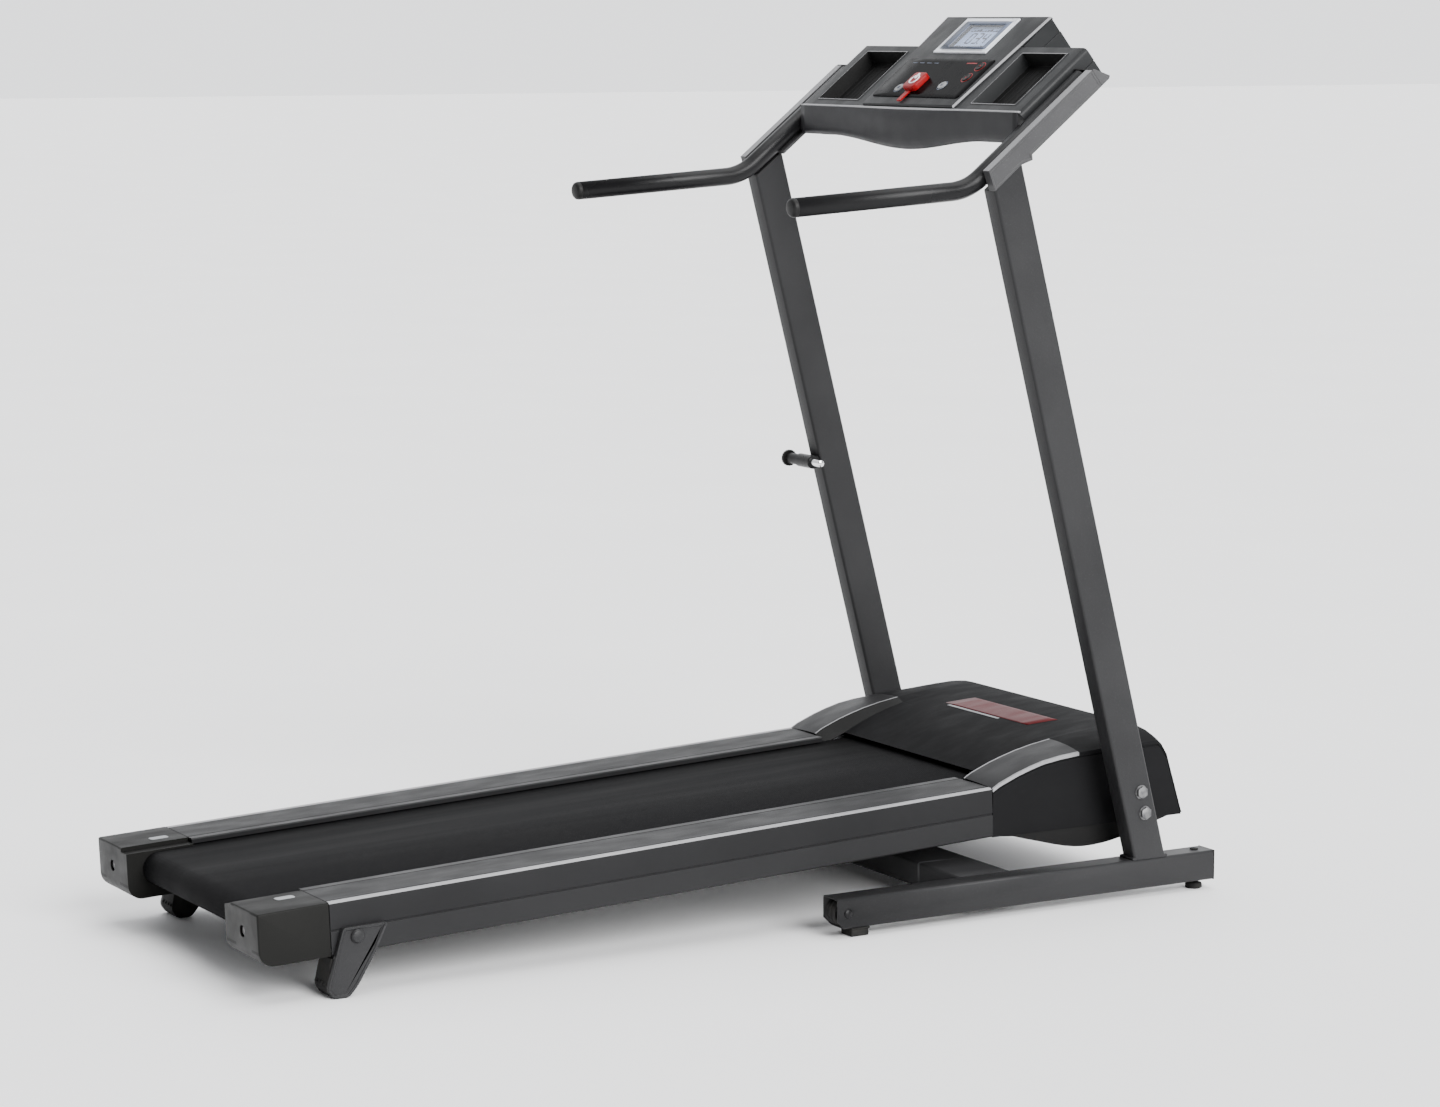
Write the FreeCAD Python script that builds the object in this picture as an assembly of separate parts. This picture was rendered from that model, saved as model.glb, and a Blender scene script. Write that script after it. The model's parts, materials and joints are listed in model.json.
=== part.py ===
import FreeCAD, Part
import math
import os

os.makedirs("parts", exist_ok=True)
V = FreeCAD.Vector
ACROSS = V(1, 0, 0)
FORWARD = V(0, 1, 0)
UP = V(0, 0, 1)

# ---------------------------------------------------------------- driving dimensions (mm)
# +X is the walker's right, +Y is forward towards the console, +Z is up, the floor is Z = 0.
HALF_LENGTH = 785.0          # end of the walking deck and front of the base rails
HALF_WIDTH = 355.0           # outer faces of base rails, uprights and console arms
SHEET = 2.0                  # wall of every steel tube
SKIN = 2.5                   # wall of every moulded cover
KNOB_REACH = 404.0           # outer end of the latch knob, on the left
HEAD_REACH = 361.0           # outer end of the bolt heads, on the right
CENTRE_SHIFT = (KNOB_REACH - HEAD_REACH) / 2    # brings the middle of the whole box to X = 0

RAIL_WIDTH, RAIL_BOTTOM, RAIL_TOP = 40.0, 14.0, 60.0
RAIL_REAR = 100.6
RAIL_INNER = HALF_WIDTH - RAIL_WIDTH
RAIL_MIDDLE = HALF_WIDTH - RAIL_WIDTH / 2
CROSSBAR_REAR, CROSSBAR_FRONT = 350.0, 440.0
PAD_MIDDLE = 143.0
WHEEL_Y, WHEEL_Z, WHEEL_R, WHEEL_WIDTH = 118.6, 37.0, 20.0, 26.0
LEVELLER_Y, LEVELLER_R, LEVELLER_FOOT_R = 760.0, 5.0, 13.0

UPRIGHT_WIDTH, UPRIGHT_DEPTH = 32.0, 58.1
UPRIGHT_REAR_AT_RAIL = 633.2            # rear face where the tube stands on the base rail
UPRIGHT_LEAN = 0.2631                   # backwards travel for each unit of height
UPRIGHT_INNER = HALF_WIDTH - UPRIGHT_WIDTH

ARM_FOOT = (353.4, 1109.7)              # lower rear corner of the console arm (Y, Z)
ARM_SLOPE = 38.6                        # degrees, arms and console face
ARM_LENGTH, ARM_DEPTH = 231.0, 30.0
ARM_PLATE = 16.0
GRIP_X, GRIP_R = 324.0, 14.0            # handrail tube
GRIP_END_Y, GRIP_END_Z, GRIP_RISE = 44.0, 1062.8, 0.063
GRIP_BEND_R = 90.0

PIVOT_Y, PIVOT_Z, PIVOT_R = 650.0, 132.0, 6.0     # where the walking deck folds
DECK_TILT = 2.62                                  # degrees, front end higher
UPPER_BOLT_Y, UPPER_BOLT_Z = 642.5, 165.0
RUNNING_FIT = 0.06

# walking deck, in its own frame: x across, v along (forward), w square to it, pivot at zero
DECK_HALF = 294.3
DECK_REAR, CAP_FRONT, HOOD_SEAM = -1433.6, -1327.5, -236.0
SIDE_IN, SIDE_OUT, SIDE_LOW, SIDE_HIGH = 226.0, 254.0, -12.0, 46.0
FOOT_RAIL_IN, FOOT_RAIL_TOP, FOOT_RAIL_LOW = 191.0, 62.4, -12.6
ROLLER_W, ROLLER_R, ROLLER_HALF, AXLE_R = 29.4, 21.7, 207.0, 7.5
REAR_ROLLER_V, FRONT_ROLLER_V = -1385.0, -185.0
BELT_HALF, BELT_INNER_R, BELT_THICK = 200.0, 22.0, 2.0
BOARD_THICK, BOARD_HALF = 18.0, 218.0
CROSSMEMBERS = (-1230.0, -800.0, -370.0)
LEG_V, LEG_W, LEG_PLATE_IN, LEG_PLATE_OUT, LEG_FOOT_IN = -1290.8, 12.0, 295.5, 303.5, 257.0
MOTOR_V, MOTOR_W, MOTOR_R = -62.0, 40.0, 36.0
PULLEY_IN, PULLEY_OUT = -223.0, -211.0
BIG_PULLEY_R, SMALL_PULLEY_R = 34.0, 12.0

# storage latch: a pin that is drawn outwards, and the hole in the deck that it enters when folded
LATCH_Y, LATCH_Z, LATCH_PIN_R, LATCH_TIP_X = 474.0, 612.0, 6.0, -298.5
BARREL_OUT, BARREL_IN, BARREL_R, BARREL_ROOM = -366.0, -323.0, 11.0, 31.0
KNOB_DISC, KNOB_R, KNOB_SHANK_R, KNOB_SHANK_IN = 7.5, 13.5, 9.0, -367.5
FOLD_LIMIT = 70.0                                 # degrees that the deck swings up
CATCH_REACH = math.hypot(LATCH_Y - PIVOT_Y, LATCH_Z - PIVOT_Z)
CATCH_TURN = math.atan2(LATCH_Z - PIVOT_Z, PIVOT_Y - LATCH_Y) - math.radians(FOLD_LIMIT - DECK_TILT)
CATCH_V, CATCH_W = -CATCH_REACH * math.cos(CATCH_TURN), CATCH_REACH * math.sin(CATCH_TURN)
CATCH_R = 8.0

# console, in its own frame: x across, s up the slope, n square to the face, arm foot at zero
CONSOLE_HALF, CONSOLE_LOW, CONSOLE_HIGH, CONSOLE_FACE = 306.0, 118.0, 270.0, 10.0
POD_HALF, POD_HIGH, POD_BACK = 142.0, 339.0, -58.0
MODULE_HALF_LOW, MODULE_FACE = 127.0, 15.0
PARTING = -14.0
TRAY_IN, TRAY_OUT, TRAY_LOW, TRAY_HIGH = 158.0, 278.0, 134.0, 256.0
BUTTON_R, BUTTON_TOP = 8.0, 18.2
BUTTONS = {"stop_button": (-64.0, 160.0), "start_button": (47.5, 168.0),
           "speed_up_button": (97.0, 214.0), "speed_down_button": (91.0, 188.0)}
KEY_X, KEY_S = -24.0, 172.0


# ---------------------------------------------------------------- shape helpers
def box(x0, x1, y0, y1, z0, z1):
    return Part.makeBox(x1 - x0, y1 - y0, z1 - z0, V(x0, y0, z0))


def rod(start, direction, radius, length):
    return Part.makeCylinder(radius, length, V(*start), direction)


def cross_rod(x0, x1, y, z, radius):
    return rod((x0, y, z), ACROSS, radius, x1 - x0)


def side_plate(points, x0, x1):
    """A (Y, Z) outline pulled across from x0 to x1."""
    outline = Part.makePolygon([V(x0, y, z) for y, z in points + points[:1]])
    return Part.Face(outline).extrude(V(x1 - x0, 0, 0))


def front_plate(points, y0, y1):
    """An (X, Z) outline pulled forward from y0 to y1."""
    outline = Part.makePolygon([V(x, y0, z) for x, z in points + points[:1]])
    return Part.Face(outline).extrude(V(0, y1 - y0, 0))


def floor_plate(points, z0, z1):
    """An (X, Y) outline pulled up from z0 to z1."""
    outline = Part.makePolygon([V(x, y, z0) for x, y in points + points[:1]])
    return Part.Face(outline).extrude(V(0, 0, z1 - z0))


def soften(shape, radius, chosen):
    """Rounds the edges for which chosen(edge middle, edge direction) is true."""
    edges = []
    for edge in shape.Edges:
        first, last = edge.Vertexes[0].Point, edge.Vertexes[-1].Point
        if chosen((first + last) / 2, (last - first).normalize() if (last - first).Length else V()):
            edges.append(edge)
    return shape.makeFillet(radius, edges)


def along(axis):
    return lambda middle, direction: abs(direction.dot(axis)) > 0.99


def hexagon_head(start, direction, across_flats, height):
    """A hexagon bolt head whose axis is the X or the Y axis."""
    radius = across_flats / 2 / math.cos(math.radians(30))
    side = UP.cross(direction)
    corners = []
    for step in range(7):
        turn = math.radians(60 * step)
        corners.append(V(*start) + side * (radius * math.cos(turn)) + UP * (radius * math.sin(turn)))
    return Part.Face(Part.makePolygon(corners)).extrude(direction * height)


def hollow(shape_outer, shape_inner):
    return shape_outer.cut(shape_inner)


def on_deck(shape):
    """Places a shape drawn in the deck's frame."""
    placed = shape.copy()
    placed.rotate(V(0, 0, 0), ACROSS, DECK_TILT)
    placed.translate(V(0, PIVOT_Y, PIVOT_Z))
    return placed


def on_console(shape):
    """Places a shape drawn in the console's frame."""
    placed = shape.copy()
    placed.rotate(V(0, 0, 0), ACROSS, ARM_SLOPE)
    placed.translate(V(0, *ARM_FOOT))
    return placed


def mirrored(shape):
    return shape.mirror(V(0, 0, 0), ACROSS)


def save(name, *shapes):
    solids = [solid for shape in shapes for solid in shape.Solids]
    group = Part.makeCompound(solids) if len(solids) > 1 else solids[0]
    group.translate(V(CENTRE_SHIFT, 0, 0))
    assert group.isValid(), name
    group.exportStep("parts/" + name + ".step")
    print(name, len(solids), "solid(s)", round(group.Volume / 1000, 1), "cm3")


def save_pair(name, right):
    save(name + "_left", mirrored(right))
    save(name + "_right", right)


def belt_loop(centre_a, radius_a, centre_b, radius_b, x0, x1):
    """The solid inside a tight loop round two (Y, Z) circles."""
    (ya, za), (yb, zb) = centre_a, centre_b
    reach = math.hypot(yb - ya, zb - za)
    heading = math.atan2(zb - za, yb - ya)
    spread = math.acos((radius_a - radius_b) / reach)

    def touch(centre, radius, turn):
        return V(x0, centre[0] + radius * math.cos(turn), centre[1] + radius * math.sin(turn))

    high, low = heading + spread, heading - spread
    upper_a, lower_a = touch(centre_a, radius_a, high), touch(centre_a, radius_a, low)
    upper_b, lower_b = touch(centre_b, radius_b, high), touch(centre_b, radius_b, low)
    back, front = touch(centre_a, radius_a, heading + math.pi), touch(centre_b, radius_b, heading)
    edges = [Part.Arc(lower_a, back, upper_a).toShape(), Part.makeLine(upper_a, upper_b),
             Part.Arc(upper_b, front, lower_b).toShape(), Part.makeLine(lower_b, lower_a)]
    return Part.Face(Part.Wire(edges)).extrude(V(x1 - x0, 0, 0))


# ---------------------------------------------------------------- base
def base_rail():
    tube = box(RAIL_INNER, HALF_WIDTH, RAIL_REAR, HALF_LENGTH - 3, RAIL_BOTTOM, RAIL_TOP)
    tube = soften(tube, 3, along(FORWARD))
    room = box(RAIL_INNER + SHEET, HALF_WIDTH - SHEET, RAIL_REAR - 1, HALF_LENGTH,
               RAIL_BOTTOM + SHEET, RAIL_TOP - SHEET)
    rail = hollow(tube, room)
    corner = [(RAIL_REAR - 1, RAIL_BOTTOM - 1), (RAIL_REAR + 13, RAIL_BOTTOM - 1),
              (RAIL_REAR - 1, RAIL_BOTTOM + 13)]
    rail = rail.cut(side_plate(corner, RAIL_INNER - 1, HALF_WIDTH + 1))
    rail = rail.cut(cross_rod(RAIL_INNER - 1, HALF_WIDTH + 1, WHEEL_Y, WHEEL_Z, 4.05))
    stem_hole = rod((RAIL_MIDDLE, LEVELLER_Y, 0), UP, LEVELLER_R + RUNNING_FIT, RAIL_TOP + 5)
    return rail.cut(stem_hole)


def base_crossbar():
    tube = box(-RAIL_INNER, RAIL_INNER, CROSSBAR_REAR, CROSSBAR_FRONT, 18, 56)
    tube = soften(tube, 3, along(ACROSS))
    room = box(-RAIL_INNER - 1, RAIL_INNER + 1, CROSSBAR_REAR + SHEET, CROSSBAR_FRONT - SHEET, 20, 54)
    return hollow(tube, room)


def transport_wheel():
    half = WHEEL_WIDTH / 2
    wheel = cross_rod(RAIL_MIDDLE - half, RAIL_MIDDLE + half, WHEEL_Y, WHEEL_Z, WHEEL_R)
    wheel = soften(wheel, 2.5, lambda middle, direction: True)
    return wheel.cut(cross_rod(RAIL_INNER, HALF_WIDTH, WHEEL_Y, WHEEL_Z, 4 + RUNNING_FIT))


def wheel_axle():
    axle = cross_rod(RAIL_INNER - 2, HALF_WIDTH, WHEEL_Y, WHEEL_Z, 4)
    head = cross_rod(HALF_WIDTH, HALF_WIDTH + 3, WHEEL_Y, WHEEL_Z, 7)
    nut = hexagon_head((RAIL_INNER - 6, WHEEL_Y, WHEEL_Z), ACROSS, 13, 6)
    return axle.fuse([head, nut])


def base_pad():
    pad = box(RAIL_MIDDLE - 15, RAIL_MIDDLE + 15, PAD_MIDDLE - 15, PAD_MIDDLE + 15, 0, RAIL_BOTTOM)
    return soften(pad, 4, along(UP))


def leveller():
    foot = rod((RAIL_MIDDLE, LEVELLER_Y, 0), UP, LEVELLER_FOOT_R, 9)
    foot = soften(foot, 1.5, lambda middle, direction: True)
    stem = rod((RAIL_MIDDLE, LEVELLER_Y, 5), UP, LEVELLER_R, 59)
    cap = rod((RAIL_MIDDLE, LEVELLER_Y, RAIL_TOP + 0.4), UP, 8, 6)
    return foot.fuse([stem, cap])


def rail_end_cap():
    lip = box(RAIL_INNER, HALF_WIDTH, HALF_LENGTH - 3, HALF_LENGTH, RAIL_BOTTOM, RAIL_TOP)
    lip = soften(lip, 3, along(FORWARD))
    plug = box(RAIL_INNER + 2.2, HALF_WIDTH - 2.2, HALF_LENGTH - 15, HALF_LENGTH - 3,
               RAIL_BOTTOM + 2.2, RAIL_TOP - 2.2)
    return lip.fuse(plug)


# ---------------------------------------------------------------- uprights, arms, handrails
def upright_rear(z):
    return UPRIGHT_REAR_AT_RAIL - UPRIGHT_LEAN * (z - RAIL_TOP)


def upright_profile(inset, low, high_rear, high_front):
    """The tube seen from the side: it leans back and its top follows the slope of the arm."""
    rear, front = upright_rear(low) + inset, upright_rear(low) + UPRIGHT_DEPTH - inset
    top_rear = upright_rear(high_rear) + inset
    top_front = upright_rear(high_front) + UPRIGHT_DEPTH - inset
    return [(rear, low), (front, low), (top_front, high_front), (top_rear, high_rear)]


def upright():
    outer = side_plate(upright_profile(0, RAIL_TOP, 1080.0, 1118.0), UPRIGHT_INNER, HALF_WIDTH)
    outer = soften(outer, 3, lambda m, d: abs(d.x) < 0.01 and m.z > 400 and m.z < 800)
    inner = side_plate(upright_profile(SHEET, RAIL_TOP - 1, 1079.0, 1117.0),
                       UPRIGHT_INNER + SHEET, HALF_WIDTH - SHEET)
    tube = outer.cut(inner)
    for y, z in ((PIVOT_Y, PIVOT_Z), (UPPER_BOLT_Y, UPPER_BOLT_Z)):
        tube = tube.cut(cross_rod(UPRIGHT_INNER - 1, HALF_WIDTH + 1, y, z, PIVOT_R + 0.1))
    return tube


def pivot_bolt():
    """Shoulder bolt that carries the walking deck: head outside, shoulder between tube and deck."""
    shank = cross_rod(SIDE_IN + 4, HALF_WIDTH, PIVOT_Y, PIVOT_Z, PIVOT_R)
    shoulder = cross_rod(DECK_HALF + 1.7, UPRIGHT_INNER, PIVOT_Y, PIVOT_Z, 12)
    head = hexagon_head((HALF_WIDTH, PIVOT_Y, PIVOT_Z), ACROSS, 17, HEAD_REACH - HALF_WIDTH)
    return shank.fuse([shoulder, head])


def upper_bolt():
    shank = cross_rod(UPRIGHT_INNER - 3, HALF_WIDTH, UPPER_BOLT_Y, UPPER_BOLT_Z, PIVOT_R)
    head = hexagon_head((HALF_WIDTH, UPPER_BOLT_Y, UPPER_BOLT_Z), ACROSS, 17, HEAD_REACH - HALF_WIDTH)
    nut = hexagon_head((UPRIGHT_INNER - 6, UPPER_BOLT_Y, UPPER_BOLT_Z), ACROSS, 17, 6)
    return shank.fuse([head, nut])


def console_arm():
    """Side plate flush with the upright, with a ledge under the handrail tube."""
    plate_in = HALF_WIDTH - ARM_PLATE
    plate = on_console(box(plate_in, HALF_WIDTH, 0, ARM_LENGTH, -ARM_DEPTH, 0))
    y, z = ARM_FOOT
    gusset = side_plate([(y, z), (364.9, 1080.0), (411.9, 1118.0), (430.7, 1124.2), (428.8, 1134.4),
                         (400.0, 1147.0)], plate_in, HALF_WIDTH)
    ledge = on_console(box(308, plate_in, 45, ARM_LENGTH - 6, -ARM_DEPTH, -GRIP_R - 12.2))
    plate = plate.fuse([gusset, ledge]).removeSplitter()
    return plate


def arm_end_cap():
    tip = [(ARM_LENGTH, 0), (ARM_LENGTH + 4, -1), (ARM_LENGTH + 21, -27), (ARM_LENGTH + 17, -ARM_DEPTH),
           (ARM_LENGTH, -ARM_DEPTH)]
    return on_console(side_plate(tip, 308, HALF_WIDTH))


def grip_path():
    """Nearly level from the free end, then one bend up to the slope of the console arm."""
    slope = math.radians(ARM_SLOPE)
    level = math.atan(GRIP_RISE)
    drop = 12.0
    arm_y = ARM_FOOT[0] + drop * math.sin(slope)
    arm_z = ARM_FOOT[1] - drop * math.cos(slope)
    corner_y = (arm_z - GRIP_END_Z + GRIP_RISE * GRIP_END_Y - math.tan(slope) * arm_y) / (
        GRIP_RISE - math.tan(slope))
    corner_z = GRIP_END_Z + GRIP_RISE * (corner_y - GRIP_END_Y)
    tangent = GRIP_BEND_R * math.tan((slope - level) / 2)
    lower = V(GRIP_X, corner_y - tangent * math.cos(level), corner_z - tangent * math.sin(level))
    upper = V(GRIP_X, corner_y + tangent * math.cos(slope), corner_z + tangent * math.sin(slope))
    centre = lower + V(0, -math.sin(level), math.cos(level)) * GRIP_BEND_R
    bisector = (level + slope) / 2
    middle = centre + V(0, math.sin(bisector), -math.cos(bisector)) * GRIP_BEND_R
    end = V(GRIP_X, arm_y + (ARM_LENGTH - 4) * math.cos(slope), arm_z + (ARM_LENGTH - 4) * math.sin(slope))
    start = V(GRIP_X, GRIP_END_Y, GRIP_END_Z)
    return start, V(0, math.cos(level), math.sin(level)), Part.Wire(
        [Part.makeLine(start, lower), Part.Arc(lower, middle, upper).toShape(), Part.makeLine(upper, end)])


def handrail():
    start, heading, path = grip_path()
    pipes = []
    for radius in (GRIP_R, GRIP_R - SHEET):
        ring = Part.Wire([Part.makeCircle(radius, start, heading)])
        pipes.append(path.makePipeShell([ring], True, False))
    return pipes[0].cut(pipes[1])


def handrail_end_cap():
    start, heading, _ = grip_path()
    cap = Part.makeCylinder(GRIP_R, 10, start - heading * 10, heading)
    return soften(cap, 4, lambda middle, direction: middle.y < GRIP_END_Y - 5)


# ---------------------------------------------------------------- storage latch
def upright_blank():
    return side_plate(upright_profile(0, RAIL_TOP, 1080.0, 1118.0), UPRIGHT_INNER, HALF_WIDTH)


def latch_rod(x0, x1, radius):
    return cross_rod(x0, x1, LATCH_Y, LATCH_Z, radius)


def latch_bracket():
    """Barrel welded behind the left upright; its outer part is bored wide for the knob's shank."""
    barrel = latch_rod(BARREL_OUT, BARREL_IN, BARREL_R)
    foot = box(-353, -327, LATCH_Y, LATCH_Y + 30, LATCH_Z - 9, LATCH_Z + 9)
    bracket = barrel.fuse(foot).cut(mirrored(upright_blank()))
    bracket = bracket.cut(latch_rod(BARREL_OUT - 1, BARREL_OUT + BARREL_ROOM, KNOB_SHANK_R + 0.3))
    return bracket.cut(latch_rod(-KNOB_REACH, LATCH_TIP_X, LATCH_PIN_R + RUNNING_FIT))


def latch_pin():
    pin = latch_rod(-KNOB_REACH + KNOB_DISC, LATCH_TIP_X, LATCH_PIN_R)
    return soften(pin, 1.5, lambda middle, direction: middle.x > LATCH_TIP_X - 1)


def latch_knob():
    """Pull knob: a disc for the fingers and a shank that slides into the barrel."""
    disc = latch_rod(-KNOB_REACH, -KNOB_REACH + KNOB_DISC, KNOB_R)
    disc = soften(disc, 2, lambda middle, direction: True)
    shank = latch_rod(-KNOB_REACH + KNOB_DISC, KNOB_SHANK_IN, KNOB_SHANK_R)
    return disc.fuse(shank).cut(latch_rod(-KNOB_REACH + KNOB_DISC, KNOB_SHANK_IN + 1, LATCH_PIN_R))


# ---------------------------------------------------------------- walking deck
def side_tube():
    rear, front = -1400.0, 24.0
    tube = box(SIDE_IN, SIDE_OUT, rear, front, SIDE_LOW, SIDE_HIGH)
    tube = hollow(tube, box(SIDE_IN + SHEET, SIDE_OUT - SHEET, rear + 3, front + 1,
                            SIDE_LOW + SHEET, SIDE_HIGH - SHEET))
    middle = (SIDE_IN + SIDE_OUT) / 2
    tube = tube.cut(rod((middle, rear - 1, ROLLER_W), FORWARD, 4.1, 5))
    for v in (REAR_ROLLER_V, FRONT_ROLLER_V):
        tube = tube.cut(cross_rod(SIDE_IN - 1, SIDE_IN + 5, v, ROLLER_W, AXLE_R + 0.05))
    sleeve = cross_rod(SIDE_IN, DECK_HALF - 3, 0, 0, 9.4)
    leg_sleeve = cross_rod(SIDE_IN, DECK_HALF - 3.2, LEG_V, LEG_W, 9)
    tube = tube.fuse([sleeve, leg_sleeve])
    tube = tube.cut(cross_rod(SIDE_IN - 1, DECK_HALF, 0, 0, PIVOT_R + RUNNING_FIT))
    return tube.cut(cross_rod(SIDE_IN + 6, DECK_HALF, LEG_V, LEG_W, PIVOT_R + 0.05))


def crossmembers():
    bars = [box(-SIDE_IN, SIDE_IN, v - 20, v + 20, 12, 27) for v in CROSSMEMBERS]
    bars += [box(-SIDE_IN, SIDE_IN, v, v + 25, SIDE_LOW, 5) for v in (-125, -5)]
    cradle = []
    for x in (-160, -25):
        plate = box(x, x + 5, -125, 20, 5, 24)
        cradle.append(plate.cut(cross_rod(x - 1, x + 6, MOTOR_V, MOTOR_W, MOTOR_R)))
    return bars + cradle


def deck_board():
    top = ROLLER_W + BELT_INNER_R - 0.2
    board = box(-BOARD_HALF, BOARD_HALF, -1355, -225, top - BOARD_THICK, top)
    return soften(board, 5, lambda m, d: abs(d.x) > 0.99 and m.z > top - 1)


def board_isolators():
    low = ROLLER_W + BELT_INNER_R - 0.2 - BOARD_THICK
    return [box(x - 15, x + 15, v - 15, v + 15, 27, low) for v in CROSSMEMBERS for x in (-190, 190)]


def foot_rail():
    top, wall = FOOT_RAIL_TOP, 3.0
    outline = [(FOOT_RAIL_IN, top - 8), (FOOT_RAIL_IN + wall, top - 8), (FOOT_RAIL_IN + wall, top - wall),
               (DECK_HALF - wall, top - wall), (DECK_HALF - wall, FOOT_RAIL_LOW),
               (DECK_HALF, FOOT_RAIL_LOW), (DECK_HALF, top), (FOOT_RAIL_IN, top)]
    rail = front_plate(outline, CAP_FRONT, HOOD_SEAM)
    rail = soften(rail, 2.5, lambda m, d: abs(d.y) > 0.99 and m.x > DECK_HALF - 1 and m.z > top - 1)
    ribs = [box(SIDE_OUT, DECK_HALF - wall, v, v + 3, 0, top - wall) for v in (-1200, -780, -360)]
    rail = rail.fuse(ribs)
    return rail.cut(cross_rod(DECK_HALF - 10, DECK_HALF + 1, LEG_V, LEG_W, 9.1))


def end_cap():
    top, wall, corner = FOOT_RAIL_TOP, 3.0, 22.0
    low = FOOT_RAIL_LOW
    cap = box(182, DECK_HALF, DECK_REAR, CAP_FRONT, low, top)
    cap = soften(cap, corner, lambda m, d: abs(d.x) > 0.99 and m.y < DECK_REAR + 1 and m.z < low + 1)
    cap = soften(cap, 2.5, lambda m, d: m.z > top - 1 and (m.x > DECK_HALF - 1 or m.y < DECK_REAR + 1))
    cap = cap.cut(box(182 - 1, DECK_HALF - wall, DECK_REAR + wall, CAP_FRONT + 1, low - 1, top - wall))
    cap = cap.cut(box(182 - 1, 203, DECK_REAR - 1, CAP_FRONT + 1, low - 1, top - 6))
    return cap.cut(rod(((SIDE_IN + SIDE_OUT) / 2, DECK_REAR - 1, ROLLER_W), FORWARD, 9, 10))


def walking_belt():
    rear, front = (REAR_ROLLER_V, ROLLER_W), (FRONT_ROLLER_V, ROLLER_W)
    outer_r = BELT_INNER_R + BELT_THICK
    outer = belt_loop(rear, outer_r, front, outer_r, -BELT_HALF, BELT_HALF)
    inner = belt_loop(rear, BELT_INNER_R, front, BELT_INNER_R, -BELT_HALF - 1, BELT_HALF + 1)
    return outer.cut(inner)


def roller(v):
    drum = cross_rod(-ROLLER_HALF, ROLLER_HALF, v, ROLLER_W, ROLLER_R)
    return drum.cut(cross_rod(-ROLLER_HALF - 1, ROLLER_HALF + 1, v, ROLLER_W, AXLE_R + RUNNING_FIT))


def front_roller():
    """The driven roller carries the large pulley on its left end."""
    pulley = cross_rod(PULLEY_IN, PULLEY_OUT, FRONT_ROLLER_V, ROLLER_W, BIG_PULLEY_R)
    hub = cross_rod(PULLEY_OUT, -ROLLER_HALF, FRONT_ROLLER_V, ROLLER_W, 14)
    bore = cross_rod(PULLEY_IN - 1, 0, FRONT_ROLLER_V, ROLLER_W, AXLE_R + RUNNING_FIT)
    return roller(FRONT_ROLLER_V).fuse([pulley.fuse(hub).cut(bore)])


def axle(v):
    bar = cross_rod(-SIDE_OUT + 4, SIDE_OUT - 4, v, ROLLER_W, AXLE_R)
    middle = (SIDE_IN + SIDE_OUT) / 2
    for x in (-middle, middle):
        bar = bar.cut(rod((x, v - 20, ROLLER_W), FORWARD, 4.05, 40))
    return bar


def adjusting_bolt():
    middle = (SIDE_IN + SIDE_OUT) / 2
    shank = rod((middle, -1425, ROLLER_W), FORWARD, 4, 60)
    head = hexagon_head((middle, -1430, ROLLER_W), FORWARD, 13, 5)
    return shank.fuse(head)


def leg_pivot():
    bolt = cross_rod(SIDE_IN + 8, LEG_PLATE_OUT + 0.4, LEG_V, LEG_W, PIVOT_R)
    head = cross_rod(LEG_PLATE_OUT + 0.4, LEG_PLATE_OUT + 4.5, LEG_V, LEG_W, 10)
    head = soften(head, 1.5, lambda middle, direction: middle.x > LEG_PLATE_OUT + 4)
    return bolt.fuse(head)


def incline_leg():
    """Steel cheek outside the foot rail, drawn in the object's own frame."""
    outline = [(-680, 98), (-608, 100), (-621, 62), (-634, 16), (-650, 0), (-676, 0), (-686, 14)]
    cheek = side_plate(outline, LEG_PLATE_IN, LEG_PLATE_OUT)
    cheek = soften(cheek, 5, along(ACROSS))
    pivot = on_deck(cross_rod(LEG_PLATE_IN - 1, LEG_PLATE_OUT + 1, LEG_V, LEG_W, PIVOT_R + RUNNING_FIT))
    return cheek.cut(pivot)


def leg_foot():
    """Rubber foot under the foot rail, cut back so that the leg can swing forward."""
    outline = [(-684, 55), (-650, 55), (-634, 45), (-634, 16), (-650, 0), (-676, 0), (-686, 14)]
    foot = side_plate(outline, LEG_FOOT_IN, LEG_PLATE_IN)
    return soften(foot, 5, lambda m, d: abs(d.x) > 0.99 and m.z < 15)


def catch_plate():
    plate = box(-DECK_HALF + 3, -DECK_HALF + 6, CATCH_V - 25, CATCH_V + 25, CATCH_W - 18, CATCH_W + 18)
    return plate.cut(cross_rod(-DECK_HALF, -DECK_HALF + 8, CATCH_V, CATCH_W, CATCH_R))


# ---------------------------------------------------------------- drive, under the hood
def drive_motor():
    can = cross_rod(-165, -15, MOTOR_V, MOTOR_W, MOTOR_R)
    can = soften(can, 4, lambda middle, direction: True)
    return can.cut(cross_rod(-166, -14, MOTOR_V, MOTOR_W, 5 + RUNNING_FIT))


def motor_rotor():
    shaft = cross_rod(PULLEY_IN - 1, -12, MOTOR_V, MOTOR_W, 5)
    pulley = cross_rod(PULLEY_IN, PULLEY_OUT, MOTOR_V, MOTOR_W, SMALL_PULLEY_R)
    flywheel = cross_rod(-205, -172, MOTOR_V, MOTOR_W, 33)
    return shaft.fuse([pulley, flywheel])


def drive_belt():
    big, small = (FRONT_ROLLER_V, ROLLER_W), (MOTOR_V, MOTOR_W)
    gap, thick = 0.3, 1.6
    outer = belt_loop(big, BIG_PULLEY_R + gap + thick, small, SMALL_PULLEY_R + gap + thick,
                      PULLEY_IN + 1, PULLEY_OUT - 1)
    inner = belt_loop(big, BIG_PULLEY_R + gap, small, SMALL_PULLEY_R + gap, PULLEY_IN, PULLEY_OUT)
    return outer.cut(inner)


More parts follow.
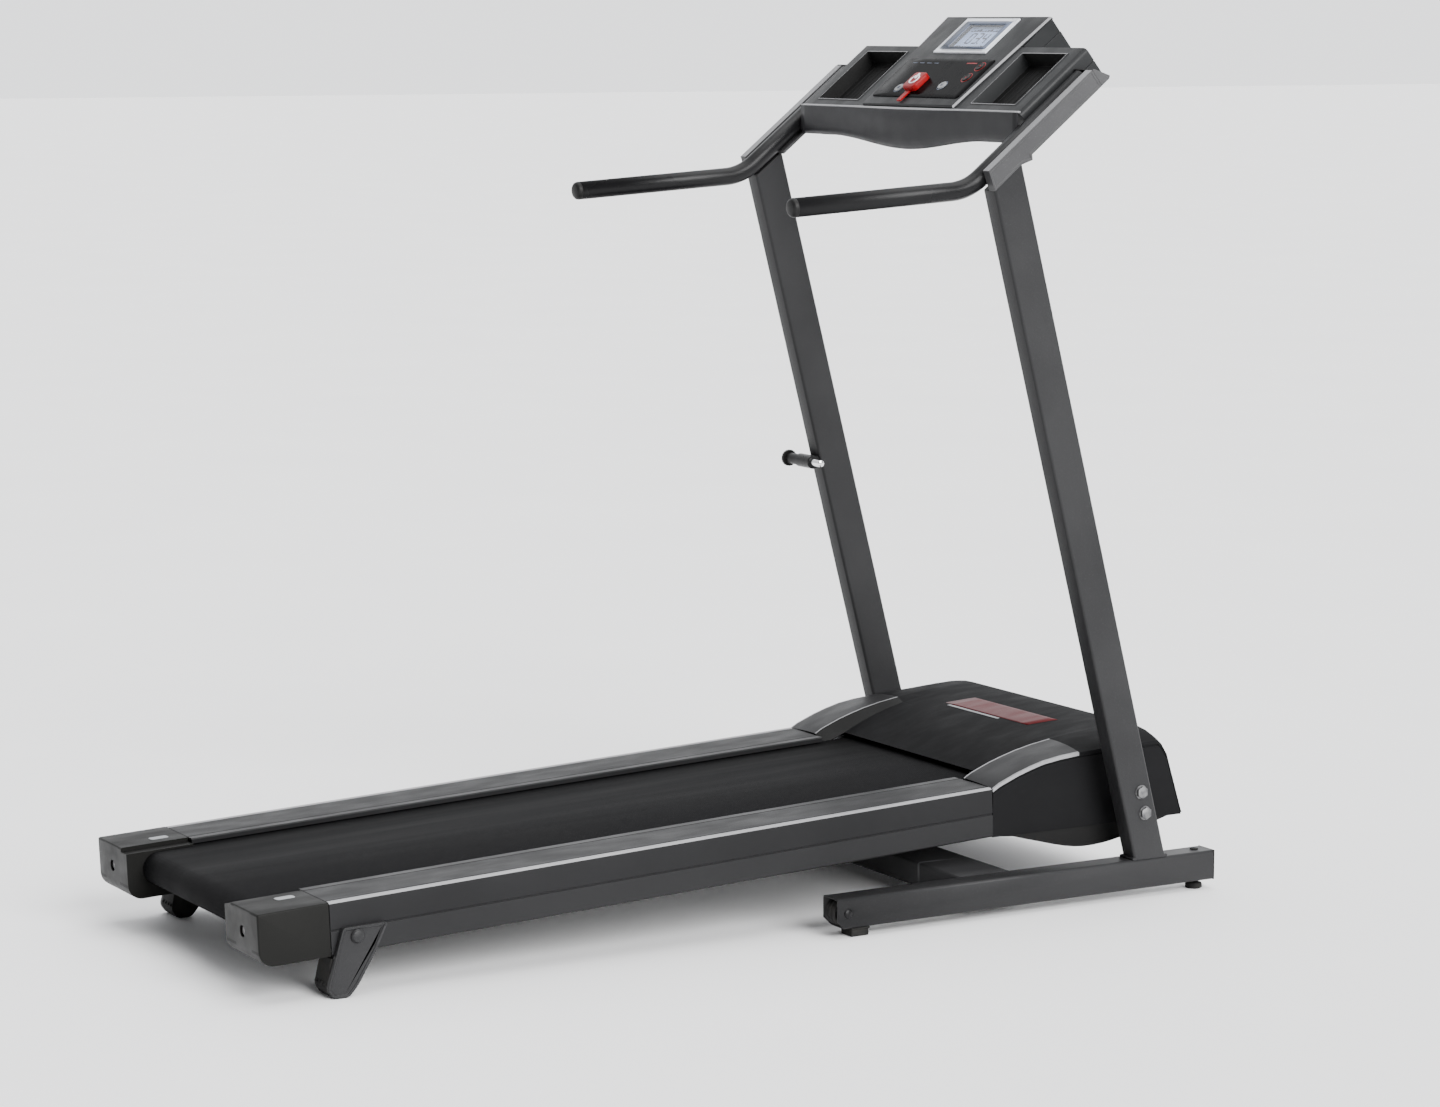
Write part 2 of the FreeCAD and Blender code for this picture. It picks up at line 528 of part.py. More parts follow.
def controller_board():
    plate = box(40, 190, -125, 20, 5, 8)
    sink = box(50, 90, -100, -10, 8, 38)
    for step in range(5):
        sink = sink.cut(box(55 + 7 * step, 58 + 7 * step, -101, -9, 14, 39))
    capacitors = [rod((x, -40, 8), UP, 12, 34) for x in (120, 150)]
    relay = box(110, 160, -105, -75, 8, 28)
    return plate.fuse([sink, relay] + capacitors)


HOOD_TOP = [(411.9, 184), (440, 197), (470, 209), (500, 218.5), (550, 229), (607, 237),
            (665, 242), (716, 244), (724, 240)]
HOOD_FRONT_FOOT = (764, 116)
PAN_LINE = [(430, 107), (452, 105), (500, 92), (548, 79.5), (583, 75.5), (620, 77),
            (652, 82.5), (700, 96)]


def motor_hood():
    outer = HOOD_TOP + [HOOD_FRONT_FOOT, (415.4, 108)]
    inner = [(410, 184 - SKIN)] + [(y, z - SKIN) for y, z in HOOD_TOP[1:-1]]
    inner += [(721, 238), (HOOD_FRONT_FOOT[0] - SKIN - 1, 113), (760, 100), (410, 100)]
    hood = side_plate(outer, -DECK_HALF, DECK_HALF)
    hood = hood.cut(side_plate(inner, -DECK_HALF + SKIN, DECK_HALF - SKIN))
    hood = hood.cut(box(-195, 195, 400, 458, 90, 260))
    for x in (-DECK_HALF - 1, DECK_HALF - 4):
        hood = hood.cut(cross_rod(x, x + 5, PIVOT_Y, PIVOT_Z, 14))
    hood = hood.cut(box(180, 220, 735, 775, 138, 166))
    return hood.cut(box(130, 160, 735, 775, 136, 168))


def belly_pan():
    outer = PAN_LINE + [(HOOD_FRONT_FOOT[0] - 4, 112.5), (HOOD_FRONT_FOOT[0] - 4, 114.6), (430, 108.4)]
    inner = [(432, 109)] + [(y, z + SKIN) for y, z in PAN_LINE[1:]] + [(757, 114), (757, 120), (432, 120)]
    half = DECK_HALF - SKIN - 0.3
    pan = side_plate(outer, -half, half)
    return pan.cut(side_plate(inner, -half + SKIN, half - SKIN))


def power_inlet():
    body = box(181, 219, 728, 752, 139, 165)
    socket = box(188, 212, 744, 753, 144, 160)
    pins = [box(x - 0.8, x + 0.8, 743, 750, 150, 156) for x in (193, 200, 207)]
    return [body.cut(socket)] + pins


def power_switch_frame():
    frame = box(131, 159, 730, 752, 137, 167)
    return frame.cut(cross_rod(134.7, 155.3, 745, 152, 10.4)).cut(box(134.7, 155.3, 745, 753, 139, 165))


def power_switch():
    rocker = cross_rod(135, 155, 745, 152, 10)
    return rocker.cut(box(134, 156, 752, 760, 151, 165))


# ---------------------------------------------------------------- console
def console_base():
    def shell(inset):
        low = CONSOLE_LOW + inset
        side = box(-CONSOLE_HALF + inset, CONSOLE_HALF - inset, low, CONSOLE_HIGH - inset,
                   -50 + inset, PARTING + (1 if inset else 0))
        pod = box(-POD_HALF + inset, POD_HALF - inset, low + 40, POD_HIGH - inset,
                  POD_BACK + inset, PARTING + (1 if inset else 0))
        return side.fuse(pod)

    posts = []
    for x in (-100, 100):
        for s, floor in ((150, -48.5), (255, -57)):
            posts.append(rod((x, s, floor), UP, 4, -6 - floor))
    return shell(0).cut(shell(SKIN)).fuse(posts)


def console_top():
    top = box(-CONSOLE_HALF, CONSOLE_HALF, CONSOLE_LOW, CONSOLE_HIGH, PARTING, CONSOLE_FACE)
    top = soften(top, 3, lambda m, d: m.z > CONSOLE_FACE - 1 and (abs(d.x) > 0.99 or abs(m.x) > 300))
    rooms = [box(-122, 122, 136, CONSOLE_HIGH + 1, PARTING - 1, CONSOLE_FACE + 1)]
    under = CONSOLE_FACE - SKIN
    for sign in (-1, 1):
        def across(a, b, s0, s1, n0, n1):
            return box(min(sign * a, sign * b), max(sign * a, sign * b), s0, s1, n0, n1)
        rooms.append(across(TRAY_IN, TRAY_OUT, TRAY_LOW, TRAY_HIGH, PARTING + SKIN, CONSOLE_FACE + 1))
        rooms.append(across(TRAY_OUT + SKIN, CONSOLE_HALF - SKIN, 121, 267, PARTING - 1, under))
        rooms.append(across(122 + SKIN, TRAY_IN - SKIN, 121, 267, PARTING - 1, under))
        rooms.append(across(TRAY_IN, TRAY_OUT, 121, TRAY_LOW - SKIN, PARTING - 1, under))
        rooms.append(across(TRAY_IN, TRAY_OUT, TRAY_HIGH + SKIN, 267, PARTING - 1, under))
    for room in rooms:
        top = top.cut(room)
    return top


def console_apron():
    """Curved skirt that faces the walker: its lower edge is deepest in the middle."""
    half, top, side_low, middle_low = 304.0, 1194.0, 1147.0, 1130.0
    edges = [Part.makeLine(V(half, 434, side_low), V(half, 434, top)),
             Part.makeLine(V(half, 434, top), V(-half, 434, top)),
             Part.makeLine(V(-half, 434, top), V(-half, 434, side_low)),
             Part.Arc(V(-half, 434, side_low), V(0, 434, middle_low), V(half, 434, side_low)).toShape()]
    plate = Part.Face(Part.Wire(edges)).extrude(V(0, 3, 0))
    shelf = box(-half, half, 437, 470, 1146.5, 1149)
    return plate.fuse(shelf)


def console_module():
    """Raised middle of the console: holds the control panel and the display."""
    outline = [(-MODULE_HALF_LOW, 122), (MODULE_HALF_LOW, 122), (POD_HALF, POD_HIGH), (-POD_HALF, POD_HIGH)]
    face = floor_plate(outline, CONSOLE_FACE, MODULE_FACE)
    face = soften(face, 3, lambda m, d: m.z > MODULE_FACE - 1)
    walls = box(-POD_HALF, POD_HALF, CONSOLE_HIGH + 0.3, POD_HIGH, PARTING, CONSOLE_FACE)
    walls = walls.cut(box(-POD_HALF + SKIN, POD_HALF - SKIN, CONSOLE_HIGH, POD_HIGH - SKIN,
                          PARTING - 1, CONSOLE_FACE + 1))
    module = face.fuse(walls)
    module = module.cut(box(-115, 115, 145, 227, 0, 20))
    return module.cut(box(-54, 54, 257, 320, 0, 20))


def control_panel():
    panel = box(-120, 120, 140, 232, MODULE_FACE, MODULE_FACE + 1.4)
    for x, s in BUTTONS.values():
        panel = panel.cut(rod((x, s, 10), UP, BUTTON_R + 0.3, 10))
    return panel.cut(box(KEY_X - 7, KEY_X + 7, KEY_S - 3, KEY_S + 3, 10, 20))


def push_button(x, s):
    cap = rod((x, s, 13), UP, BUTTON_R, BUTTON_TOP - 13)
    cap = soften(cap, 1.2, lambda m, d: m.z > BUTTON_TOP - 1)
    return cap.fuse(rod((x, s, 0.5), UP, 3, 13))


def safety_key():
    head = box(KEY_X - 17, KEY_X + 17, KEY_S - 20, KEY_S + 16, 16.6, 26)
    head = soften(head, 6, along(UP))
    head = soften(head, 2, lambda m, d: m.z > 25)
    blade = box(KEY_X - 6.7, KEY_X + 6.7, KEY_S - 2.7, KEY_S + 2.7, 1, 16.6)
    pull_tab = box(KEY_X - 5, KEY_X + 5, 127, KEY_S - 18, 17, 20)
    return head.fuse([blade, pull_tab])


def lcd_frame():
    frame = box(-72, 72, 247, 330, MODULE_FACE, MODULE_FACE + 2.5)
    frame = soften(frame, 4, along(UP))
    return frame.cut(box(-50, 50, 260, 317, 10, 20))


def console_board():
    board = box(-110, 110, 145, 320, -6, -4.4)
    chips = [box(-80, -50, 240, 270, -4.4, -1.4), box(30, 60, 240, 262, -4.4, -1.4)]
    return board.fuse(chips)


# ---------------------------------------------------------------- write the sub-parts
save_pair("base_rail", base_rail())
save("base_crossbar", base_crossbar())
save_pair("transport_wheel", transport_wheel())
save("frame_bolts", *[side for bolt in (wheel_axle(), pivot_bolt(), upper_bolt())
                      for side in (bolt, mirrored(bolt))])
save("rear_base_pads", base_pad(), mirrored(base_pad()))
save_pair("leveller", leveller())
save("tube_end_caps", *[side for cap in (rail_end_cap(), arm_end_cap(), handrail_end_cap())
                        for side in (cap, mirrored(cap))])
save_pair("upright", upright())
save_pair("console_arm", console_arm())
save_pair("handrail", handrail())

save("latch_bracket", latch_bracket())
save("latch_pin", latch_pin())
save("latch_knob", latch_knob())

save("deck_side_tubes", on_deck(side_tube()), on_deck(mirrored(side_tube())))
save("deck_crossmembers", *[on_deck(bar) for bar in crossmembers()])
save("deck_board", on_deck(deck_board()))
save("board_isolators", *[on_deck(block) for block in board_isolators()])
catch_hole = cross_rod(-DECK_HALF - 1, -DECK_HALF + 9, CATCH_V, CATCH_W, CATCH_R)
save("foot_rail_left", on_deck(mirrored(foot_rail()).cut(catch_hole)))
save("foot_rail_right", on_deck(foot_rail()))
save_pair("end_cap", on_deck(end_cap()))
save("walking_belt", on_deck(walking_belt()))
save("rear_roller", on_deck(roller(REAR_ROLLER_V)))
save("front_roller", on_deck(front_roller()))
save("roller_axles", on_deck(axle(REAR_ROLLER_V)), on_deck(axle(FRONT_ROLLER_V)))
save("deck_bolts", *[on_deck(side) for bolt in (adjusting_bolt(), leg_pivot())
                     for side in (bolt, mirrored(bolt))])
save_pair("incline_leg", incline_leg())
save_pair("leg_foot", leg_foot())
save("catch_plate", on_deck(catch_plate()))

save("drive_motor", on_deck(drive_motor()))
save("motor_rotor", on_deck(motor_rotor()))
save("drive_belt", on_deck(drive_belt()))
save("controller_board", on_deck(controller_board()))
save("motor_hood", motor_hood())
save("belly_pan", belly_pan())
save("power_inlet", *power_inlet())
save("switch_frame", power_switch_frame())
save("power_switch", power_switch())

save("console_base", on_console(console_base()))
save("console_top", on_console(console_top()))
save("console_apron", console_apron())
save("console_module", on_console(console_module()))
save("control_panel", on_console(control_panel()))
for name, (x, s) in BUTTONS.items():
    save(name, on_console(push_button(x, s)))
save("safety_key", on_console(safety_key()))
save("lcd_frame", on_console(lcd_frame()))
save("lcd_window", on_console(box(-49.8, 49.8, 260.2, 316.8, 14.6, 16.2)))
save("lcd_display", on_console(box(-52, 52, 258.5, 318.5, 5, 9)))
save("console_board", on_console(console_board()))
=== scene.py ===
# %% [markdown]
# # A folding home treadmill
# This lesson dresses a treadmill whose working parts are already designed: steel frame, tilted
# walking deck, motor hood, leaning uprights and a sloped console. The design arrives as a packed
# frame in metres, with +X to the walker's right, +Y forward and the floor at Z = 0. Each visible
# piece is modelled again with bmesh operators in the same place, gets a finish made of nodes, and
# rides on the body that it belongs to, so that every joint still moves it.

# %% Load the frame
import json
import math
import bpy
import bmesh
from mathutils import Matrix, Vector


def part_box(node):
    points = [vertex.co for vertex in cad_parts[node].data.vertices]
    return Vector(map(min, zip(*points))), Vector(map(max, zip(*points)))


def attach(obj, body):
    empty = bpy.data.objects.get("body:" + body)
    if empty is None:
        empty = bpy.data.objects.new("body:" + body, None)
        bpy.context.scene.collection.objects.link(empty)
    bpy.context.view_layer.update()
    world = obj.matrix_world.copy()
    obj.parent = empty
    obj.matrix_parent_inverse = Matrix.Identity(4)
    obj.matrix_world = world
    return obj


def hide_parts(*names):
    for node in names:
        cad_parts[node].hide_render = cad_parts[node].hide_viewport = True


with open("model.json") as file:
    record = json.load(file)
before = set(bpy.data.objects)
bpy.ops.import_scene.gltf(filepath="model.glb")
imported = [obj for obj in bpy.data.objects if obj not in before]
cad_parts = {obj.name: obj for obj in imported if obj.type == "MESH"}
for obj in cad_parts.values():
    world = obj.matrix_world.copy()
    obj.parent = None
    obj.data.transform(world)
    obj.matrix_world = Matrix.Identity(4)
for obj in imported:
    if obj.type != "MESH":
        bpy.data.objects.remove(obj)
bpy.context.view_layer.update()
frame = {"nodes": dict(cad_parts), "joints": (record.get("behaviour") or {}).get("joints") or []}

# %% [markdown]
# ## Three drawing frames
# The deck is tilted and the console slopes, so it is easier to draw each of them level and turn
# the result. A matrix does that: it turns a drawing about the walker's left-right line and puts it
# in place. The places are read from the frame: the fold joint's axis, and the key, which is pulled
# straight out of the console face and so points along that face's normal.

# %% Where the deck and the console sit
joints = {joint["name"]: joint for joint in frame["joints"]}
PIVOT = Vector(joints["deck_fold"]["pos_m"])
MIDDLE = PIVOT.x
DECK_TILT = math.radians(2.62)
key_axis = Vector(joints["safety_key_pull"]["axis"])
CONSOLE_SLOPE = math.atan2(-key_axis.y, key_axis.z)
ARM_LENGTH = 0.231
arm_low, arm_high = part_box("console_arm_right")
ARM_FOOT = Vector((MIDDLE, arm_low.y, arm_high.z - ARM_LENGTH * math.sin(CONSOLE_SLOPE)))

level = Matrix.Translation((MIDDLE, 0, 0))
on_deck = Matrix.Translation(PIVOT) @ Matrix.Rotation(DECK_TILT, 4, "X")
on_console = Matrix.Translation(ARM_FOOT) @ Matrix.Rotation(CONSOLE_SLOPE, 4, "X")
print("console slope", round(math.degrees(CONSOLE_SLOPE), 2), "degrees, arm foot", ARM_FOOT)

# %% [markdown]
# ## Camera and plain stage
# The camera comes first, so that everything made later can be judged from it. It stands behind and
# to the right of the machine, a little above the handrails, with a long lens that keeps the
# uprights nearly parallel. The floor is one large pale sheet and counts as stage.

# %% Camera
CAMERA_AZIMUTH = math.radians(59.821)
CAMERA_PITCH = math.radians(7.821)
CAMERA_LENS = 96.70

camera_data = bpy.data.cameras.new("camera")
camera_data.lens = CAMERA_LENS
camera_data.sensor_width = 36
camera = bpy.data.objects.new("camera", camera_data)
camera.location = (MIDDLE + 5.0220, -2.8111, 1.3232)
camera.rotation_euler = (math.pi / 2 - CAMERA_PITCH, 0, CAMERA_AZIMUTH)
bpy.context.scene.collection.objects.link(camera)
bpy.context.scene.camera = camera
print("camera", round(CAMERA_LENS), "mm lens")

# %% [markdown]
# ## Soft studio light
# A studio for dark products works with contrast. A strong, wide light stands low on the walker's
# right, so faces turned that way are bright and the faces turned back to the viewer fall dark. A
# second one overhead draws thin bright lines along upper edges. The surroundings light the machine
# strongly from behind and dimly from the viewer's side, which is what keeps dark paint looking dark.
# Looked at directly they are one even pale tone, so every view has the same plain backdrop.

# %% Lamps and surroundings
def wide_light(name, comes_from, strength, spread):
    """A sun lamp; its angle is the width of the light as seen from the object."""
    data = bpy.data.lights.new(name, "SUN")
    data.energy = strength
    data.angle = math.radians(spread)
    lamp = bpy.data.objects.new(name, data)
    lamp.location = comes_from
    lamp.rotation_euler = Vector(comes_from).to_track_quat("Z", "Y").to_euler()
    bpy.context.scene.collection.objects.link(lamp)
    print("light", name, strength)


wide_light("key", (4.6, 0.6, 2.4), 6.5, 40)
wide_light("overhead", (0.3, 0.6, 4.0), 2.2, 50)

world = bpy.data.worlds.new("surroundings")
world.use_nodes = True
parts, joins = world.node_tree.nodes, world.node_tree.links
sky = parts["Background"]
sky.inputs["Color"].default_value = (0.97, 0.98, 1.0, 1)
looking = parts.new("ShaderNodeTexCoord")
ahead = parts.new("ShaderNodeVectorMath")
ahead.operation = "DOT_PRODUCT"
ahead.inputs[1].default_value = (-0.86, 0.50, 0.0)
joins.new(looking.outputs["Generated"], ahead.inputs[0])
brighter = parts.new("ShaderNodeMapRange")
for socket, number in zip(("From Min", "From Max", "To Min", "To Max"), (-0.4, 0.9, 0.22, 1.95)):
    brighter.inputs[socket].default_value = number
joins.new(ahead.outputs["Value"], brighter.inputs["Value"])
looks = parts.new("ShaderNodeMix")
looks.inputs["B"].default_value = 1.98
joins.new(parts.new("ShaderNodeLightPath").outputs["Is Camera Ray"], looks.inputs["Factor"])
joins.new(brighter.outputs["Result"], looks.inputs["A"])
joins.new(looks.outputs["Result"], sky.inputs["Strength"])
bpy.context.scene.world = world

# %% [markdown]
# ## Finishes made of nodes
# Every finish starts from one Principled shader and reads Object coordinates, which are metres here
# because each object sits at the origin. A noise drawn at a few hundred cells a metre is grain, at a
# few cells a metre it is the slow drift in colour that handling and dust leave. Small helpers add
# one effect each, so that a finish reads as a short list of what the surface really shows.

# %% Helpers for finishes
def tone(red, green, blue):
    """A colour given in the usual 0 to 255 steps, as linear light."""
    return tuple(((step / 255 + 0.055) / 1.055) ** 2.4 for step in (red, green, blue)) + (1,)


class Finish:
    """A material with a few named effects: grain, drift, wear, relief."""

    def __init__(self, name, roughness, metal=0.0, coat=0.0, shine=0.15):
        self.made = bpy.data.materials.new(name)
        self.made.use_nodes = True
        self.nodes = self.made.node_tree.nodes
        self.links = self.made.node_tree.links
        self.shader = self.nodes["Principled BSDF"]
        self.shader.inputs["Roughness"].default_value = roughness
        self.shader.inputs["Metallic"].default_value = metal
        self.shader.inputs["Coat Weight"].default_value = coat
        self.shader.inputs["Specular IOR Level"].default_value = shine
        self.place = self.nodes.new("ShaderNodeTexCoord").outputs["Object"]
        self.bumps = 0

    def scaled(self, stretch):
        mapping = self.nodes.new("ShaderNodeMapping")
        mapping.inputs["Scale"].default_value = stretch
        self.links.new(self.place, mapping.inputs["Vector"])
        return mapping.outputs["Vector"]

    def noise(self, scale, detail=3.0, stretch=(1, 1, 1)):
        node = self.nodes.new("ShaderNodeTexNoise")
        node.inputs["Scale"].default_value = scale
        node.inputs["Detail"].default_value = detail
        self.links.new(self.scaled(stretch), node.inputs["Vector"])
        return node.outputs["Fac"]

    def cells(self, scale, stretch=(1, 1, 1)):
        node = self.nodes.new("ShaderNodeTexVoronoi")
        node.inputs["Scale"].default_value = scale
        self.links.new(self.scaled(stretch), node.inputs["Vector"])
        return node.outputs["Distance"]

    def waves(self, scale, direction, distortion=0.0, stretch=(1, 1, 1)):
        node = self.nodes.new("ShaderNodeTexWave")
        node.bands_direction = direction
        node.inputs["Scale"].default_value = scale
        node.inputs["Distortion"].default_value = distortion
        self.links.new(self.scaled(stretch), node.inputs["Vector"])
        return node.outputs["Fac"]

    def spread(self, value, low, high, out_low=0.0, out_high=1.0):
        """Stretches the part of a value between low and high to a new range."""
        node = self.nodes.new("ShaderNodeMapRange")
        for socket, number in zip(("From Min", "From Max", "To Min", "To Max"),
                                  (low, high, out_low, out_high)):
            node.inputs[socket].default_value = number
        self.links.new(value, node.inputs["Value"])
        return node.outputs["Result"]

    def times(self, first, second, kind="MULTIPLY"):
        node = self.nodes.new("ShaderNodeMath")
        node.operation = kind
        self.links.new(first, node.inputs[0])
        self.links.new(second, node.inputs[1])
        return node.outputs["Value"]

    def blend(self, share, first, second):
        """Goes from the first colour to the second; each is a colour or a socket."""
        node = self.nodes.new("ShaderNodeMix")
        node.data_type = "RGBA"
        self.links.new(share, node.inputs["Factor"])
        for socket, colour in ((node.inputs[6], first), (node.inputs[7], second)):
            if isinstance(colour, tuple):
                socket.default_value = colour
            else:
                self.links.new(colour, socket)
        return node.outputs[2]

    def colour(self, socket):
        self.links.new(socket, self.shader.inputs["Base Color"])

    def roughness(self, value, low, high):
        self.links.new(self.spread(value, 0.3, 0.7, low, high), self.shader.inputs["Roughness"])

    def relief(self, height, depth):
        """Bumps of the given depth in metres; a second call rides on the first."""
        node = self.nodes.new("ShaderNodeBump")
        node.inputs["Strength"].default_value = 1.0
        node.inputs["Distance"].default_value = depth
        self.links.new(height, node.inputs["Height"])
        target = self.shader.inputs["Normal"]
        if target.is_linked:
            self.links.new(target.links[0].from_socket, node.inputs["Normal"])
        self.links.new(node.outputs["Normal"], target)
        self.bumps += 1


print("finish helpers ready")

# %% [markdown]
# ## Paint on steel
# The steel tubes are powder coated: the powder melts into a skin with a fine orange-peel texture,
# about a millimetre from bump to bump, and a soft sheen. Three greys are used, so one function makes
# them all. Thin scratches run along the tubes where the machine is handled and rolled away.

# %% Powder-coated steel
def powder_coat(name, base, light, roughness):
    paint = Finish(name, roughness)
    drift = paint.noise(5, 4)
    peel = paint.noise(750, 2)
    scratch = paint.noise(60, 6, (1, 0.06, 0.06))
    body = paint.blend(paint.spread(drift, 0.35, 0.65), base, light)
    speck = paint.spread(peel, 0.62, 0.72, 0, 0.35)
    flecked = paint.blend(speck, body, tuple(min(1, part * 2.2) for part in light[:3]) + (1,))
    worn = paint.spread(scratch, 0.70, 0.74, 0, 0.5)
    paint.colour(paint.blend(worn, flecked, tone(92, 92, 94)))
    paint.roughness(drift, roughness - 0.06, roughness + 0.08)
    paint.relief(peel, 0.00025)
    return paint.made


frame_paint = powder_coat("frame_paint", tone(35, 35, 36), tone(42, 42, 43), 0.42)
arm_paint = powder_coat("arm_paint", tone(62, 62, 63), tone(72, 72, 73), 0.38)
# A pale paint laid on the arms' top faces as a painted highlight.
highlight_paint = powder_coat("highlight_paint", tone(120, 120, 122), tone(136, 136, 138), 0.34)
handrail_paint = powder_coat("handrail_paint", tone(17, 17, 18), tone(24, 24, 25), 0.30)
motor_paint = powder_coat("motor_paint", tone(20, 20, 22), tone(28, 28, 30), 0.45)
print("paints", frame_paint.name, arm_paint.name, handrail_paint.name, motor_paint.name)

# %% [markdown]
# ## Moulded plastic
# Covers are injection moulded in dark plastic whose mould was etched, so the skin carries a fine
# leathery grain of less than a millimetre. A cell pattern gives the grain, and noise breaks it up.
# Faint flow marks and dust change the tone slowly. The same function serves covers, caps and keys.

# %% Grained plastic
def moulded(name, base, light, roughness, grain=900, depth=0.00012, shine=0.15):
    plastic = Finish(name, roughness, shine=shine)
    drift = plastic.noise(3.5, 5)
    rub = plastic.noise(38, 5, (1, 0.35, 1))
    etched = plastic.times(plastic.cells(grain), plastic.noise(grain * 0.6, 2))
    body = plastic.blend(plastic.spread(drift, 0.3, 0.7), base, light)
    scuff = plastic.spread(rub, 0.64, 0.80, 0, 0.10)
    pale = tuple(min(1, part * 2.5) for part in light[:3]) + (1,)
    plastic.colour(plastic.blend(scuff, body, pale))
    plastic.roughness(rub, roughness - 0.05, roughness + 0.08)
    plastic.relief(etched, depth)
    return plastic.made


hood_plastic = moulded("hood_plastic", tone(18, 18, 19), tone(25, 25, 26), 0.62, shine=0.04)
# Near black for the belly pan; also laid on the hood wings' inner walls as painted shade.
pan_and_shade_plastic = moulded("pan_and_shade_plastic", tone(12, 12, 12), tone(18, 18, 18), 0.55)
rail_plastic = moulded("rail_plastic", tone(26, 26, 27), tone(33, 33, 34), 0.44, shine=0.08)
# Pale: the hood's thin decorative line, and painted highlights along edges of rails, hood, console and apron.
trim_and_highlight_plastic = moulded("trim_and_highlight_plastic", tone(126, 126, 128), tone(146, 146, 148), 0.36)
# A lighter copy of the hood plastic on the wing tops, as painted light; a shinier copy on the rail bands.
lit_band_plastic = moulded("lit_band_plastic", tone(26, 26, 27), tone(32, 32, 33), 0.42)
# A lighter copy of the cap plastic for the caps' rear faces, as painted light.
end_face_light_plastic = moulded("end_face_light_plastic", tone(25, 25, 25), tone(36, 36, 35), 0.46)
end_cap_plastic = moulded("end_cap_plastic", tone(17, 17, 16), tone(23, 23, 22), 0.46, shine=0.08)
console_plastic = moulded("console_plastic", tone(30, 31, 32), tone(39, 40, 41), 0.40)
# Near black for the tray recesses, as painted shade.
tray_shade_plastic = moulded("tray_shade_plastic", tone(10, 10, 10), tone(15, 15, 15), 0.60)
apron_plastic = moulded("apron_plastic", tone(33, 33, 35), tone(42, 42, 44), 0.40)
cap_plastic = moulded("cap_plastic", tone(18, 18, 18), tone(26, 26, 26), 0.48)
knob_plastic = moulded("knob_plastic", tone(20, 20, 20), tone(28, 28, 28), 0.40)
button_plastic = moulded("button_plastic", tone(120, 122, 124), tone(140, 142, 144), 0.35)
key_red = moulded("key_red", tone(118, 4, 10), tone(136, 8, 15), 0.32)
stripe_red = moulded("stripe_red", tone(66, 3, 9), tone(84, 6, 13), 0.40)
print("plastics made")

# %% [markdown]
# ## Walking belt
# The belt is a woven polyester carrier with a PVC face, embossed with a small diamond pattern that
# grips shoes. Two sets of fine waves crossing at right angles make the diamonds. They read the
# belt's own UV map, which runs along the loop, so the pattern also turns round the rollers evenly.
# Feet polish the middle and leave dull streaks along the run.

# %% Embossed belt
def belt_face():
    rubber = Finish("belt_rubber", 0.70, shine=0.04)
    flat = rubber.nodes.new("ShaderNodeUVMap")
    flat.uv_map = "run"
    rubber.place = flat.outputs["UV"]
    slant = rubber.waves(150, "DIAGONAL")
    other = rubber.waves(150, "DIAGONAL", 0, (-1, 1, 1))
    weave = rubber.times(slant, other, "MAXIMUM")
    streak = rubber.noise(26, 5, (1, 0.05, 1))
    cloud = rubber.noise(4, 4)
    body = rubber.blend(rubber.spread(streak, 0.35, 0.65), tone(21, 21, 22), tone(25, 25, 26))
    dusty = rubber.blend(rubber.spread(cloud, 0.45, 0.75, 0, 0.20), body, tone(32, 31, 30))
    rubber.colour(rubber.blend(rubber.spread(weave, 0.55, 1, 0, 0.30), dusty, tone(13, 13, 14)))
    rubber.roughness(streak, 0.64, 0.80)
    rubber.relief(weave, 0.00035)
    rubber.relief(rubber.noise(1400, 2), 0.0001)
    return rubber.made


belt_rubber = belt_face()
print("belt finish", belt_rubber.name)

# %% [markdown]
# ## Rubber, bare metal and wood
# Feet and isolators are matt rubber with a dusty bloom. Inner bolts are zinc plated, with the cloudy
# crystals that plating leaves, and outer ones are darkened; rollers are turned steel, so their fine tool marks run round them;
# the latch pin is chrome. The deck board is fibre board with a waxed dark face and faint flakes.

# %% Rubber, metals, wood
def rubber_finish(name, base, light):
    rubber = Finish(name, 0.75)
    bloom = rubber.noise(40, 5)
    pores = rubber.noise(1600, 2)
    rubber.colour(rubber.blend(rubber.spread(bloom, 0.4, 0.75, 0, 0.8), base, light))
    rubber.roughness(bloom, 0.68, 0.85)
    rubber.relief(pores, 0.0002)
    return rubber.made


def metal_finish(name, base, light, roughness, stretch, marks=1200, depth=0.00005):
    metal = Finish(name, roughness, metal=1.0)
    cloud = metal.noise(120, 4)
    tool = metal.noise(marks, 3, stretch)
    body = metal.blend(metal.spread(cloud, 0.35, 0.65), base, light)
    metal.colour(metal.blend(metal.spread(tool, 0.6, 0.8, 0, 0.3), body, tone(70, 68, 64)))
    metal.roughness(tool, roughness - 0.05, roughness + 0.10)
    metal.relief(tool, depth)
    return metal.made


def board_finish():
    wood = Finish("deck_wood", 0.5, coat=0.2)
    flake = wood.cells(260, (1, 0.4, 1))
    fibre = wood.noise(70, 6, (1, 0.15, 1))
    body = wood.blend(wood.spread(fibre, 0.3, 0.7), tone(46, 38, 31), tone(66, 55, 45))
    wood.colour(wood.blend(wood.spread(flake, 0.1, 0.5, 0, 0.4), body, tone(90, 78, 64)))
    wood.roughness(fibre, 0.4, 0.6)
    wood.relief(fibre, 0.0002)
    return wood.made


